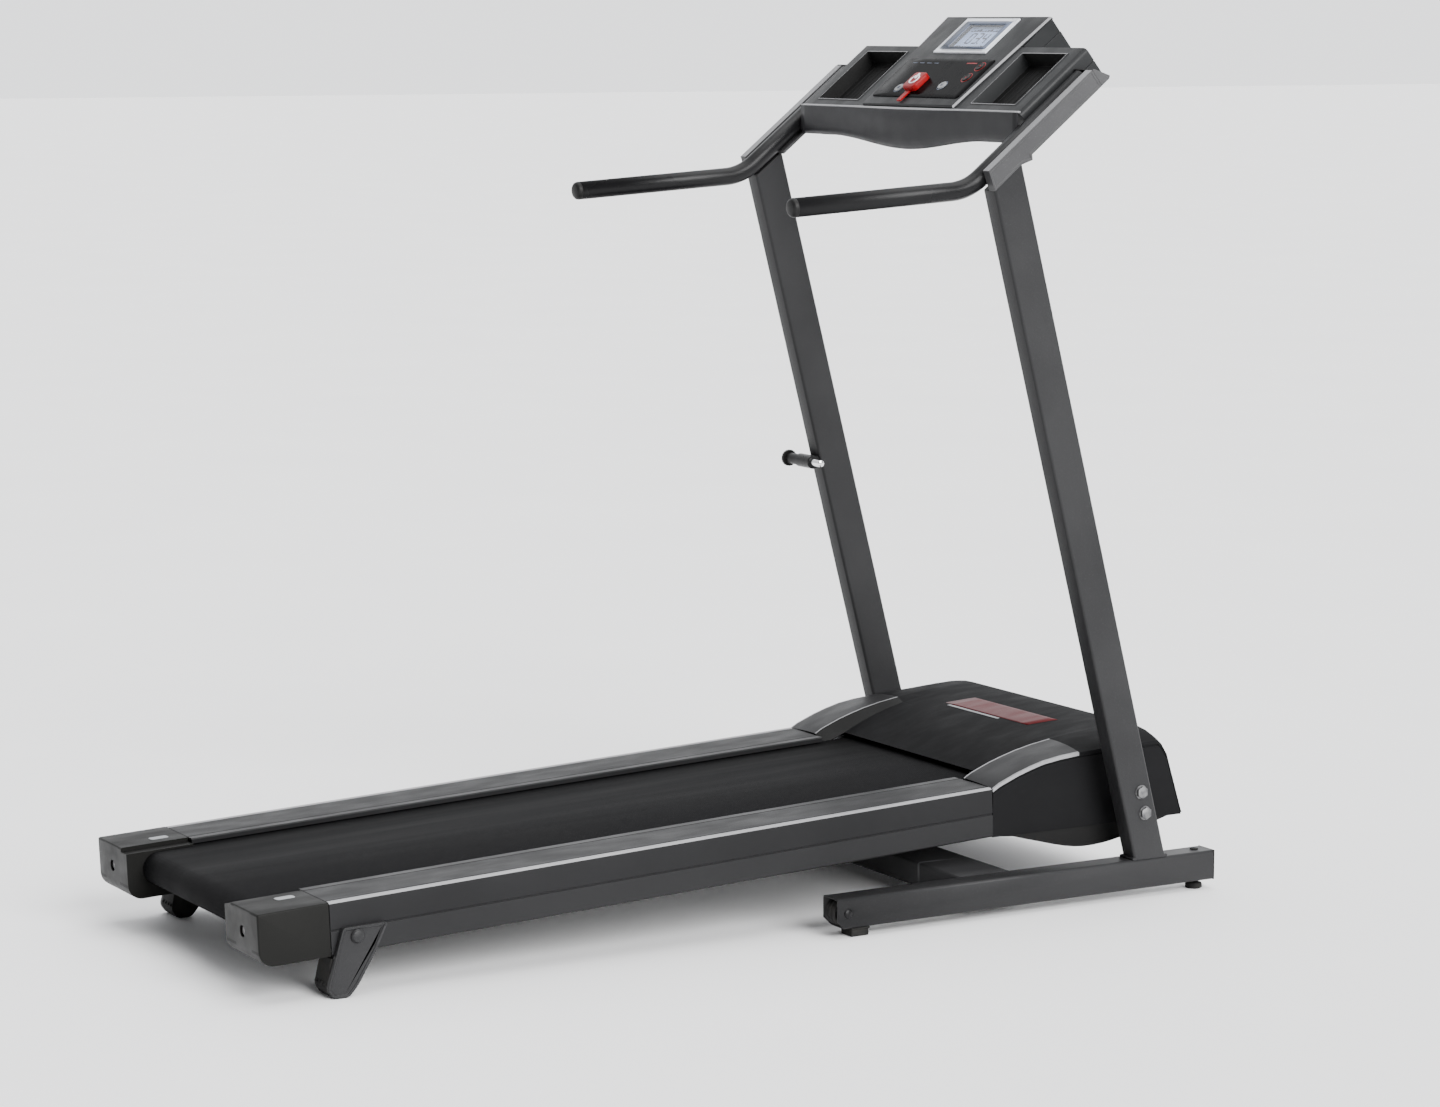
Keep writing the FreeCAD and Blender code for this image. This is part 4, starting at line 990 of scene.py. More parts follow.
def walking_belt():
    bm = bmesh.new()
    bottom = ROLLER_W - BELT_RADIUS
    first = [bm.verts.new((x, FRONT_ROLLER, bottom)) for x in (-BELT_HALF, BELT_HALF)]
    last = first + [bm.edges.new(first)]
    pulled = bmesh.ops.extrude_edge_only(bm, edges=[last[2]])["geom"]
    bmesh.ops.translate(bm, vec=(0, REAR_ROLLER - FRONT_ROLLER, 0),
                        verts=[v for v in pulled if isinstance(v, bmesh.types.BMVert)])
    last = [g for g in pulled if not isinstance(g, bmesh.types.BMFace)]
    last = spun_edge(bm, last, (0, REAR_ROLLER, ROLLER_W), -math.pi)
    pulled = bmesh.ops.extrude_edge_only(bm, edges=[g for g in last if isinstance(g, bmesh.types.BMEdge)])
    bmesh.ops.translate(bm, vec=(0, FRONT_ROLLER - REAR_ROLLER, 0),
                        verts=[v for v in pulled["geom"] if isinstance(v, bmesh.types.BMVert)])
    last = [g for g in pulled["geom"] if not isinstance(g, bmesh.types.BMFace)]
    spun_edge(bm, last, (0, FRONT_ROLLER, ROLLER_W), -math.pi)
    bmesh.ops.remove_doubles(bm, verts=bm.verts, dist=1e-5)
    return map_run(bm)


def travelled(point):
    """How far along the loop a point lies, measured from the front of the upper run."""
    if point.y > FRONT_ROLLER:
        angle = math.atan2(point.y - FRONT_ROLLER, point.z - ROLLER_W)
        return -angle * BELT_RADIUS
    if point.y < REAR_ROLLER:
        angle = math.atan2(REAR_ROLLER - point.y, point.z - ROLLER_W)
        return FRONT_ROLLER - REAR_ROLLER + angle * BELT_RADIUS
    if point.z > ROLLER_W:
        return FRONT_ROLLER - point.y
    return FRONT_ROLLER - REAR_ROLLER + math.pi * BELT_RADIUS + point.y - REAR_ROLLER


def map_run(bm):
    layer = bm.loops.layers.uv.new("run")
    for face in bm.faces:
        middle = travelled(face.calc_center_median())
        for loop in face.loops:
            run = travelled(loop.vert.co)
            if abs(run - middle) > 1.3 and run < middle:
                run += 2 * (FRONT_ROLLER - REAR_ROLLER + math.pi * BELT_RADIUS)
            loop[layer].uv = (loop.vert.co.x, run)
    return bm


keep(walking_belt(), "visible_walking_belt", "walking_deck", "belt_rubber", belt_rubber,
     place=on_deck, stands_for=("walking_belt",), wall=0.002, angle=50)

# %% [markdown]
# ## Foot rails
# The walker stands on the foot rails to mount the belt. Each is one long extrusion: an inner lip, a
# flat tread with a groove near its outer side, a raised bead, and a skirt whose lower band stands
# slightly proud. So its section is drawn once and pulled along the deck; by the place of each face,
# the bead gets a pale finish, a painted highlight for the long thin line of light along it, and the
# inner strip and the lower band get the shinier band finish. Tiny steps in the section show well
# because light runs along them for more than a metre.

# %% Foot rails
DECK_HALF = 0.2943
RAIL_TREAD_IN = 0.191
TREAD_TOP, SKIRT_LOW = 0.0624, -0.0126
CAP_SEAM, HOOD_SEAM = -1.3275, -0.236


def foot_rail():
    top, out = TREAD_TOP, DECK_HALF
    section = [(RAIL_TREAD_IN, top - 0.008), (RAIL_TREAD_IN, top - 0.0015), (0.1925, top),
               (0.2060, top), (0.2066, top - 0.0010), (0.2076, top - 0.0010), (0.2082, top),
               (0.2810, top), (0.2818, top - 0.0022), (0.2838, top - 0.0022), (0.2846, top + 0.0002),
               (0.2905, top + 0.0002), (out - 0.0006, top - 0.0022), (out, top - 0.0050),
               (out, 0.0240), (out - 0.0016, 0.0232), (out - 0.0016, 0.0218), (out, 0.0210),
               (out, SKIRT_LOW + 0.002), (out - 0.002, SKIRT_LOW), (out - 0.013, SKIRT_LOW),
               (out - 0.013, SKIRT_LOW + 0.002), (out - 0.003, SKIRT_LOW + 0.002),
               (out - 0.003, top - 0.003), (0.194, top - 0.003), (0.194, top - 0.008)]
    bm = prism(section, "Y", CAP_SEAM + 0.0006, HOOD_SEAM - 0.0006)
    # The pale bead faces are a painted highlight; the band faces take the shinier band finish.
    for face in panes(bm, lambda m: m.z > top - 0.0025):
        middle = face.calc_center_median()
        face.material_index = 1 if middle.x > 0.2839 else 2 if middle.x < 0.2061 else 0
    for face in panes(bm, lambda m: m.x > out - 0.0001 and m.z < 0.022):
        face.material_index = 2
    return bm


def open_catch(bm):
    """The left skirt has a round hole that the latch pin enters when the deck is folded up."""
    low, high = CATCH_W - 0.0115, CATCH_W + 0.0115
    for spot, way in (((0, CATCH_V - 0.012, 0), (0, 1, 0)), ((0, CATCH_V + 0.012, 0), (0, 1, 0)),
                      ((0, 0, low), (0, 0, 1)), ((0, 0, high), (0, 0, 1))):
        bmesh.ops.bisect_plane(bm, geom=bm.verts[:] + bm.edges[:] + bm.faces[:], dist=1e-6,
                               plane_co=spot, plane_no=way)
    rings = []
    for x, reach in ((DECK_HALF, 0.0022), (DECK_HALF - 0.003, 0.0005)):
        cell = panes(bm, lambda m: abs(m.x - x) < reach and abs(m.y - CATCH_V) < 0.012
                     and low < m.z < high)
        edges = {edge for face in cell for edge in face.edges}
        bmesh.ops.delete(bm, geom=cell, context="FACES_ONLY")
        bmesh.ops.delete(bm, geom=[edge for edge in edges if edge.is_wire], context="EDGES")
        rim = [edge for edge in edges if edge.is_valid and edge.is_boundary]
        place = Matrix.Translation((x, CATCH_V, CATCH_W)) @ Matrix.Rotation(math.pi / 2, 4, "Y")
        ring = bmesh.ops.create_circle(bm, segments=24, radius=0.0080, matrix=place)["verts"]
        loop = list({edge for vert in ring for edge in vert.link_edges})
        bmesh.ops.bridge_loops(bm, edges=rim + loop)
        rings += loop
    bmesh.ops.bridge_loops(bm, edges=rings)
    return bm


CATCH_V, CATCH_W = -0.5108, 0.0221
for side, sign in (("right", 1), ("left", -1)):
    bm = foot_rail() if sign > 0 else open_catch(foot_rail())
    bmesh.ops.scale(bm, vec=(sign, 1, 1), verts=bm.verts)
    keep(bm, "visible_foot_rail_" + side, "walking_deck", "rail_plastic",
         (rail_plastic, trim_and_highlight_plastic, lit_band_plastic), place=on_deck,
         stands_for=("foot_rail_" + side,), bevel=0.0006, angle=25, steps=2)

# %% [markdown]
# ## Rear end caps
# A moulded cap closes each foot rail at the walker's end. Its lower rear corner is a large round, so
# that edge gets a wide bevel and the rest small ones. A round hole in the rear face lets a key reach
# the bolt that sets the belt's tracking. To open the hole the rear face's outline is subdivided
# until it has as many points as the hole, and triangle_fill closes the space between the two.

# %% End caps
CAP_IN, DECK_REAR = 0.182, -1.4336
ADJUSTER_X = 0.240


def hole_in(bm, face, centre, radius, way, depth):
    """Opens a round pocket in a four-sided face."""
    rim = list(face.edges)
    bmesh.ops.delete(bm, geom=[face], context="FACES_ONLY")
    cut = bmesh.ops.subdivide_edges(bm, edges=rim, cuts=5)
    rim = [g for g in cut["geom"] if isinstance(g, bmesh.types.BMEdge)]
    turn = Vector(way).to_track_quat("Z", "Y").to_matrix().to_4x4()
    ring = bmesh.ops.create_circle(bm, segments=24, radius=radius,
                                   matrix=Matrix.Translation(centre) @ turn)["verts"]
    loop = list({edge for vert in ring for edge in vert.link_edges})
    bmesh.ops.triangle_fill(bm, edges=list(set(rim)) + loop, use_beauty=True)
    pulled = bmesh.ops.extrude_edge_only(bm, edges=loop)["geom"]
    moved = [g for g in pulled if isinstance(g, bmesh.types.BMVert)]
    bmesh.ops.translate(bm, vec=-Vector(way) * depth, verts=moved)
    bmesh.ops.contextual_create(bm, geom=[g for g in pulled if isinstance(g, bmesh.types.BMEdge)])
    bmesh.ops.recalc_face_normals(bm, faces=bm.faces[:])


def end_cap():
    section = [(CAP_IN, SKIRT_LOW), (DECK_HALF, SKIRT_LOW), (DECK_HALF, TREAD_TOP), (0.203, TREAD_TOP),
               (0.203, TREAD_TOP - 0.006), (CAP_IN, TREAD_TOP - 0.006)]
    bm = prism(section, "Y", DECK_REAR, CAP_SEAM - 0.0006)
    rear = DECK_REAR + 1e-4
    for side in (0.215, 0.268):
        bmesh.ops.bisect_plane(bm, geom=bm.verts[:] + bm.edges[:] + bm.faces[:], dist=1e-6,
                               plane_co=(side, 0, 0), plane_no=(1, 0, 0))
    soften(bm, lambda m, way: abs(way.x) > 0.99 and m.y < rear and m.z < SKIRT_LOW + 1e-4, 0.022, 8)
    soften(bm, lambda m, way: m.y < rear and m.z > TREAD_TOP - 1e-4, 0.0030, 3)
    soften(bm, lambda m, way: m.x > DECK_HALF - 1e-4 and abs(way.x) < 0.5 and m.y < CAP_SEAM - 0.002
           and (m.z > 0 or m.y < rear + 0.02), 0.0025, 3)
    bm.normal_update()
    target = [f for f in bm.faces if f.normal.y < -0.99 and 0.22 < f.calc_center_median().x < 0.265]
    hole_in(bm, max(target, key=lambda f: f.calc_area()), (ADJUSTER_X, DECK_REAR, ROLLER_W), 0.0085,
            (0, -1, 0), 0.0035)
    # Painted light: the flat rear face and the lower round take a lighter copy of the cap finish.
    for face in bm.faces:
        middle = face.calc_center_median()
        flat = face.normal.y < -0.9 and middle.y < rear
        rounded = middle.z < SKIRT_LOW + 0.016 and face.normal.y < -0.3
        if flat or rounded and middle.x < DECK_HALF - 0.001:
            face.material_index = 1
    return bm


pair(end_cap, "end_cap", "end_cap_plastic", (end_cap_plastic, end_face_light_plastic),
     body="walking_deck", place=on_deck)


def cap_marks():
    """The pale inlay on each cap shows where the foot rail begins."""
    bm = bmesh.new()
    for sign in (-1, 1):
        sides = sorted((sign * 0.2210, sign * 0.2360))
        slab((sides[0], -1.378, TREAD_TOP - 0.001), (sides[1], -1.350, TREAD_TOP + 0.0006), bm)
    return soften(bm, lambda middle, way: abs(way.z) > 0.99, 0.004, 4)


keep(cap_marks(), "cap_marks", "walking_deck", "button_plastic", button_plastic, place=on_deck)

# %% [markdown]
# ## Adjusting bolts and leg pivots
# Each end cap's hole shows the hexagon head of the adjusting bolt, and the incline legs turn on
# domed pivots whose heads stand just outside the cheeks.

# %% Deck bolts
LEG_V, LEG_W = -1.2908, 0.012
LEG_OUT = 0.3035


def deck_bolts():
    bm = bmesh.new()
    head = [(0, 0.0046), (0.0045, 0.0042), (0.0082, 0.0030), (0.0100, 0.0008), (0.0100, 0.0004),
            (0.0060, 0.0004), (0.0060, -0.069), (0, -0.069)]
    for sign in (-1, 1):
        hexagon(bm, (sign * ADJUSTER_X, -1.425, ROLLER_W), (0, -1, 0), 0.013, 0.0060)
        turned([(0, 0), (0.004, 0), (0.004, 0.060), (0, 0.060)],
               (sign * ADJUSTER_X, -1.425, ROLLER_W), (0, 1, 0), 20, bm)
        turned(head, (sign * LEG_OUT, LEG_V, LEG_W), (sign, 0, 0), 32, bm)
    for face in panes(bm, lambda m: abs(m.x) > LEG_OUT):
        face.material_index = 1
    return bm


keep(deck_bolts(), "visible_deck_bolts", "walking_deck", "zinc_steel", (dark_steel, frame_paint),
     place=on_deck,
     stands_for=("deck_bolts",))

# %% [markdown]
# ## Incline legs
# Two pressed cheeks hang at the walker's end; swung down they stand the deck on their rubber feet.
# A cheek is a plate with a rolled rim. Insetting its outer face twice, the second time with depth,
# leaves that rim standing. The rubber foot behind it has grooves that a thin slab pattern gives.

# %% Incline legs
LEG_IN, LEG_FOOT_IN = 0.2955, 0.257


def incline_leg():
    outline = [(-0.662, 0.098), (-0.594, 0.100), (-0.612, 0.062), (-0.640, 0.016), (-0.654, 0),
               (-0.676, 0), (-0.686, 0.014)]
    bm = prism(outline, "X", LEG_IN, LEG_OUT)
    soften(bm, lambda middle, way: abs(way.x) > 0.99, 0.005, 4)
    outer = panes(bm, lambda middle: middle.x > LEG_OUT - 1e-5)
    bmesh.ops.inset_region(bm, faces=outer, thickness=0.0035, depth=0)
    bmesh.ops.inset_region(bm, faces=outer, thickness=0.0012, depth=-0.0018)
    return bm


def leg_foot():
    outline = [(-0.677, 0.055), (-0.652, 0.055), (-0.640, 0.045), (-0.640, 0.016), (-0.654, 0),
               (-0.676, 0), (-0.686, 0.014)]
    bm = prism(outline, "X", LEG_FOOT_IN, LEG_IN)
    soften(bm, lambda middle, way: abs(way.x) > 0.99 and middle.z < 0.02, 0.005, 4)
    sole = [(-0.6872, 0.020), (-0.6845, 0.018), (-0.6755, 0.0004), (-0.6755, 0.003), (-0.684, 0.024)]
    for step in range(4):
        start = LEG_FOOT_IN + 0.003 + 0.0095 * step
        prism(sole, "X", start, start + 0.005, bm)
    return bm


for side in ("left", "right"):
    sign = 1 if side == "right" else -1
    for draw, node, slot, finish in ((incline_leg, "incline_leg_", "frame_paint", frame_paint),
                                     (leg_foot, "leg_foot_", "foot_rubber", foot_rubber)):
        bm = draw()
        bmesh.ops.scale(bm, vec=(sign, 1, 1), verts=bm.verts)
        keep(bm, "visible_" + node + side, "incline_leg_" + side, slot, finish,
             stands_for=(node + side,), bevel=0.0008, steps=2)

# %% [markdown]
# ## Motor hood
# The hood is the largest moulding. Its top starts as one line that follows the side profile; the
# line is extruded across the machine in steps, which leaves lengthwise strips. The middle strips are
# pressed lower towards the belt, so that two wings stand up at the sides and run into the crown. The
# outer edge is then extruded down in three steps: over the rim, into a narrow groove, and down the side.

# %% Hood
HOOD_LINE = [(0.4127, 0.1855), (0.425, 0.1925), (0.440, 0.1985), (0.458, 0.2055), (0.480, 0.2125),
             (0.505, 0.2195), (0.535, 0.2260), (0.570, 0.2315), (0.607, 0.2360), (0.640, 0.2395),
             (0.675, 0.2425), (0.705, 0.2440), (0.718, 0.2436), (0.725, 0.2380)]
FRONT_FOOT = (0.764, 0.115)
WING_IN, MIDDLE_OUT = 0.214, 0.199
BELT_EDGE_Y = 0.458
WING_EDGE = 0.2175
HOOD_LINES = (-DECK_HALF, -0.2905, -0.281, -0.262, -0.238, -WING_EDGE, -WING_IN, -MIDDLE_OUT, -0.150,
              -0.075, 0, 0.075, 0.130, 0.160, 0.180, MIDDLE_OUT, WING_IN, WING_EDGE, 0.238, 0.262,
              0.281, 0.2905, DECK_HALF)
SIDE_LOW = 0.108


def middle_drop(y):
    """How far the middle of the hood lies below its wings."""
    left = min(1, max(0, 1 - (y - BELT_EDGE_Y) / 0.25))
    return 0.0200 * left * left


def side_fall(x, y):
    """The crown falls towards the sides, more so at the front."""
    share = min(1, max(0, (abs(x) - 0.205) / (DECK_HALF - 0.205)))
    front = min(1, max(0, (y - 0.50) / 0.18))
    return share ** 3 * (0.0035 + 0.0130 * front)


def front_line(height):
    top_y, top_z = HOOD_LINE[-1]
    share = (top_z - height) / (top_z - FRONT_FOOT[1])
    return top_y + (FRONT_FOOT[0] - top_y) * share


def hood_height(x, y):
    for (y0, z0), (y1, z1) in zip(HOOD_LINE, HOOD_LINE[1:]):
        if y0 <= y <= y1:
            height = z0 + (z1 - z0) * (y - y0) / (y1 - y0)
    return height - side_fall(x, y) - (middle_drop(y) if abs(x) < WING_IN else 0)


def hood_shell():
    bm = bmesh.new()
    line = HOOD_LINE + [(front_line(z), z) for z in (0.205, 0.168, 0.137)] + [FRONT_FOOT]
    verts = [bm.verts.new((HOOD_LINES[0], y, z)) for y, z in line]
    edges = [bm.edges.new(two) for two in zip(verts, verts[1:])]
    for before, after in zip(HOOD_LINES, HOOD_LINES[1:]):
        pulled = bmesh.ops.extrude_edge_only(bm, edges=edges)["geom"]
        bmesh.ops.translate(bm, vec=(after - before, 0, 0),
                            verts=[v for v in pulled if isinstance(v, bmesh.types.BMVert)])
        edges = [g for g in pulled if isinstance(g, bmesh.types.BMEdge)]
    bmesh.ops.delete(bm, context="FACES", geom=panes(
        bm, lambda m: abs(m.x) < MIDDLE_OUT and m.y < BELT_EDGE_Y))
    bmesh.ops.delete(bm, context="FACES", geom=panes(
        bm, lambda m: 0.13 < m.x < 0.22 and not 0.16 < m.x < 0.18 and 0.137 < m.z < 0.168))
    for vert in bm.verts:
        top = vert.co.y < HOOD_LINE[-1][0] + 1e-4
        if top:
            vert.co.z -= side_fall(vert.co.x, vert.co.y)
        if abs(vert.co.x) < MIDDLE_OUT + 1e-4 and top:
            vert.co.z -= middle_drop(vert.co.y)
    for sign in (-1, 1):
        rim = [e for e in bm.edges if e.is_boundary
               and all(v.co.x * sign > DECK_HALF - 1e-4 for v in e.verts)]
        for inward, down in ((0, 0.0050), (-0.0016, 0.0008), (0, 0.0016), (0.0016, 0.0008), (0, 1)):
            pulled = bmesh.ops.extrude_edge_only(bm, edges=rim)["geom"]
            for vert in pulled:
                if isinstance(vert, bmesh.types.BMVert):
                    vert.co.x += sign * inward
                    vert.co.z = max(SIDE_LOW, vert.co.z - down)
            rim = [g for g in pulled if isinstance(g, bmesh.types.BMEdge)]
    lip = [e for e in bm.edges if e.is_boundary
           and all(abs(v.co.y - BELT_EDGE_Y) < 1e-4 and abs(v.co.x) < MIDDLE_OUT + 1e-4 for v in e.verts)]
    pulled = bmesh.ops.extrude_edge_only(bm, edges=lip)["geom"]
    bmesh.ops.translate(bm, vec=(0, 0.010, -0.0045),
                        verts=[v for v in pulled if isinstance(v, bmesh.types.BMVert)])
    bmesh.ops.dissolve_degenerate(bm, dist=1e-5, edges=bm.edges[:])
    # Painted light and shade on the wings: the strip along each wing's inner edge and the outer rim take the pale
    # trim finish as painted highlights, the wing tops the lighter band finish as painted light, and the wings'
    # inner walls the near-black pan finish as painted shade.
    for face in panes(bm, lambda m: m.y < 0.585 and m.z > 0.17):
        middle = face.calc_center_median()
        across = abs(middle.x)
        if across > 0.2905 and middle.z > hood_height(0.2943, middle.y) - 0.003 or \
                WING_IN < across < WING_EDGE:
            face.material_index = 2
        elif WING_EDGE < across < 0.2905:
            face.material_index = 1
        elif MIDDLE_OUT < across < WING_IN:
            face.material_index = 3
    return bm


keep(hood_shell(), "visible_motor_hood", "walking_deck", "hood_plastic",
     (hood_plastic, lit_band_plastic, trim_and_highlight_plastic, pan_and_shade_plastic),
     stands_for=("motor_hood",), wall=0.0025, bevel=0.0016, angle=22, steps=3)

# %% [markdown]
# ## Stripe on the hood
# A plain red stripe with a thin pale line decorates the hood. Each is a thin inlay that follows the
# hood: a small grid whose points are lifted to the height of the top just there.

# %% Hood stripe
HOOD_SHELL_LIFT = 0.0004


def inlay(name, x_span, y_span, slant, finish):
    bm = bmesh.new()
    bmesh.ops.create_grid(bm, x_segments=12, y_segments=12, size=0.5)
    for vert in bm.verts:
        u, v = vert.co.x + 0.5, vert.co.y + 0.5
        y = y_span[0] + v * (y_span[1] - y_span[0])
        x = x_span[0] + u * (x_span[1] - x_span[0]) + slant * v
        vert.co = (x, y, hood_height(x, y) + HOOD_SHELL_LIFT)
    keep(bm, name, "walking_deck", "hood_plastic", finish, wall=0.0005)


inlay("hood_stripe", (-0.126, 0.105), (0.605, 0.650), 0.018, stripe_red)
inlay("hood_pale_line", (-0.112, 0.030), (0.5985, 0.6030), 0.001, trim_and_highlight_plastic)

# %% [markdown]
# ## Belly pan
# A black pan closes the hood from below and bulges towards the floor. Its side profile is pulled
# across, its long edges are rounded, and its lower faces are inset and pressed in a little, which
# gives the stiffening panels that such pans have.

# %% Belly pan
def belly_pan():
    outline = [(0.430, 0.107), (0.452, 0.105), (0.475, 0.0985), (0.500, 0.092), (0.524, 0.0855),
               (0.548, 0.0798), (0.566, 0.0770), (0.583, 0.0757), (0.601, 0.0760), (0.620, 0.0774),
               (0.636, 0.0798), (0.652, 0.0828), (0.676, 0.0890), (0.700, 0.096), (0.760, 0.1125),
               (0.760, 0.1146), (0.430, 0.1084)]
    half = DECK_HALF - 0.0028
    bm = prism(outline, "X", -half, half)
    for side in (-0.15, 0, 0.15):
        bmesh.ops.bisect_plane(bm, geom=bm.verts[:] + bm.edges[:] + bm.faces[:], dist=1e-6,
                               plane_co=(side, 0, 0), plane_no=(1, 0, 0))
    for low, high in ((-1, -0.15), (-0.15, 0), (0, 0.15), (0.15, 1)):
        group = panes(bm, lambda m: low < m.x < high and 0.48 < m.y < 0.69 and m.z < 0.1)
        group = [f for f in group if abs(f.normal.x) < 0.5]
        bmesh.ops.inset_region(bm, faces=group, thickness=0.012, depth=0, use_even_offset=True)
        bmesh.ops.inset_region(bm, faces=group, thickness=0.003, depth=-0.002, use_even_offset=True)
    return bm


keep(belly_pan(), "visible_belly_pan", "walking_deck", "hood_plastic", pan_and_shade_plastic,
     stands_for=("belly_pan",), bevel=0.0030, angle=40)

# %% [markdown]
# ## Console shell
# The lower half of the console is a shallow shell with a deeper pod behind the display. A flat sheet
# is cut by a few lines, the panes beyond the pod are removed, everything is pulled down to the
# shell's depth, and the pod's panes a little further.

# %% Console base
CONSOLE_HALF, CONSOLE_LOW, CONSOLE_HIGH, CONSOLE_FACE = 0.306, 0.118, 0.270, 0.010
POD_HALF, POD_HIGH = 0.142, 0.339
PARTING = -0.014


def console_base():
    bm = sheet((-CONSOLE_HALF, -POD_HALF, POD_HALF, CONSOLE_HALF), (CONSOLE_LOW, 0.158, CONSOLE_HIGH,
               POD_HIGH), "Z", PARTING - 0.0004)
    bmesh.ops.delete(bm, context="FACES", geom=panes(
        bm, lambda m: m.y > CONSOLE_HIGH and abs(m.x) > POD_HALF))
    move_panes(bm, bm.faces[:], (0, 0, -0.0356))
    pod = panes(bm, lambda m: m.z < -0.0499 and abs(m.x) < POD_HALF and m.y > 0.158)
    move_panes(bm, pod, (0, 0, -0.008))
    vents = panes(bm, lambda m: m.z < -0.0575 and m.y < CONSOLE_HIGH)
    bmesh.ops.inset_region(bm, faces=vents, thickness=0.020, depth=0)
    bmesh.ops.inset_region(bm, faces=vents, thickness=0.002, depth=-0.0015)
    return bm


keep(console_base(), "visible_console_base", "stand", "console_plastic", console_plastic,
     place=on_console, stands_for=("console_base",), bevel=0.0035)

# %% [markdown]
# ## Console top with its trays
# The upper half has two accessory trays. A tray is made from one pane: an inset raises a rim, a second
# inset makes the rim flat, and a third with depth sinks the floor and gives the walls their draft, as
# a mould needs. The flat rim gets a pale finish as a painted highlight, and the sunk faces a
# near-black finish as painted shade, all but the inner wall that faces the light; ribs on the floor
# keep things from sliding.

# %% Console top
TRAY_IN, TRAY_OUT, TRAY_LOW, TRAY_HIGH = 0.158, 0.278, 0.134, 0.256
TRAY_DEPTH = 0.0215
SCREEN_HALF, SCREEN_LOW, SCREEN_HIGH = 0.0505, 0.2595, 0.3175


def console_top():
    lines = (TRAY_IN, TRAY_OUT, CONSOLE_HALF)
    across = [-x for x in reversed(lines)] + [-SCREEN_HALF - 0.002, SCREEN_HALF + 0.002] + list(lines)
    bm = sheet(across, (CONSOLE_LOW, TRAY_LOW, TRAY_HIGH, CONSOLE_HIGH), "Z", PARTING + 0.0004)
    bmesh.ops.delete(bm, context="FACES", geom=panes(
        bm, lambda m: abs(m.x) < SCREEN_HALF and m.y > TRAY_HIGH))
    move_panes(bm, bm.faces[:], (0, 0, CONSOLE_FACE - PARTING - 0.0004))
    bmesh.ops.recalc_face_normals(bm, faces=bm.faces)
    for sign in (-1, 1):
        tray = panes(bm, lambda m: m.z > CONSOLE_FACE - 1e-4 and TRAY_LOW < m.y < TRAY_HIGH
                     and TRAY_IN < m.x * sign < TRAY_OUT)
        bmesh.ops.inset_region(bm, faces=tray, thickness=0.0012, depth=0.0014)
        rim = bmesh.ops.inset_region(bm, faces=tray, thickness=0.0022, depth=0)
        # The rim takes the pale trim finish: a painted highlight.
        for face in rim["faces"]:
            face.material_index = 2
        sunk = bmesh.ops.inset_region(bm, faces=tray, thickness=0.0035, depth=-TRAY_DEPTH - 0.0014)
        # Painted shade: the tray floor and walls take a near-black finish, all but the inner wall, which faces the
        # light and keeps the shell's colour.
        for face in tray + sunk["faces"]:
            inner_wall = face not in tray and face.calc_center_median().x * sign < TRAY_IN + 0.008
            face.material_index = 0 if inner_wall else 1
    soften(bm, lambda m, way: m.z > CONSOLE_FACE - 1e-4 and abs(m.x) > CONSOLE_HALF - 1e-4, 0.007, 4)
    for sign in (-1, 1):
        for step in range(7):
            x = sign * (TRAY_IN + 0.018 + 0.014 * step)
            floor_z = CONSOLE_FACE - TRAY_DEPTH
            slab((x - 0.0012, TRAY_LOW + 0.014, floor_z - 0.001),
                 (x + 0.0012, TRAY_HIGH - 0.014, floor_z + 0.0008), bm)
    # The ribs share the tray floor's painted shade.
    for face in panes(bm, lambda m: abs(m.z - CONSOLE_FACE + TRAY_DEPTH) < 0.0012):
        face.material_index = 1
    return bm


keep(console_top(), "visible_console_top", "stand", "console_plastic",
     (console_plastic, tray_shade_plastic, trim_and_highlight_plastic), place=on_console, stands_for=("console_top",),
     bevel=0.0009)

# %% [markdown]
# ## Apron
# The apron is the skirt that faces the walker. It is deepest in the middle, bows a little outwards,
# and rolls over at the top, where a pale strip is a painted highlight for the thin line of light
# along it. A grid gives enough points; each is then moved by two simple curves, one for the lower
# edge and one for the bow.

# %% Apron
APRON_HALF, APRON_FACE = 0.304, 0.436
APRON_TOP, APRON_SIDE_LOW, APRON_MIDDLE_LOW = 1.194, 1.147, 1.130


def apron():
    bm = bmesh.new()
    bmesh.ops.create_grid(bm, x_segments=48, y_segments=14, size=0.5)
    # The top band takes the pale trim finish: a painted highlight along the roll-over.
    for face in panes(bm, lambda m: m.y > 0.3):
        face.material_index = 1
    for vert in bm.verts:
        across, up = 2 * vert.co.x, vert.co.y + 0.5
        dip = 0.5 + 0.5 * math.cos(math.pi * min(1, abs(across) / 0.72))
        low = APRON_SIDE_LOW + (APRON_MIDDLE_LOW - APRON_SIDE_LOW) * dip
        bow = 0.006 * dip * math.sin(math.pi * min(1, up * 1.1))
        roll = max(0, (up - 0.86) / 0.14)
        tuck = max(0, (0.12 - up) / 0.12)
        y = APRON_FACE - bow + 0.007 * roll * roll + 0.004 * tuck * tuck
        vert.co = (across * APRON_HALF, y, low + (APRON_TOP - low) * math.sin(up * math.pi / 2) ** 0.9)
    return bm


keep(apron(), "visible_console_apron", "stand", "apron_plastic", (apron_plastic, trim_and_highlight_plastic),
     stands_for=("console_apron",), wall=0.003, angle=60)

# %% [markdown]
# ## Console module
# A raised centre piece widens towards the top and carries the display and the controls. Its plate is
# a four-cornered outline with rounded upper edges. Four cuts mark out the display's opening; its panes are removed
# above and below, and bridge_loops joins the two rims. The walls of the pod close the gap behind.

# %% Console module
MODULE_FACE = 0.015
MODULE_LOW_HALF = 0.127


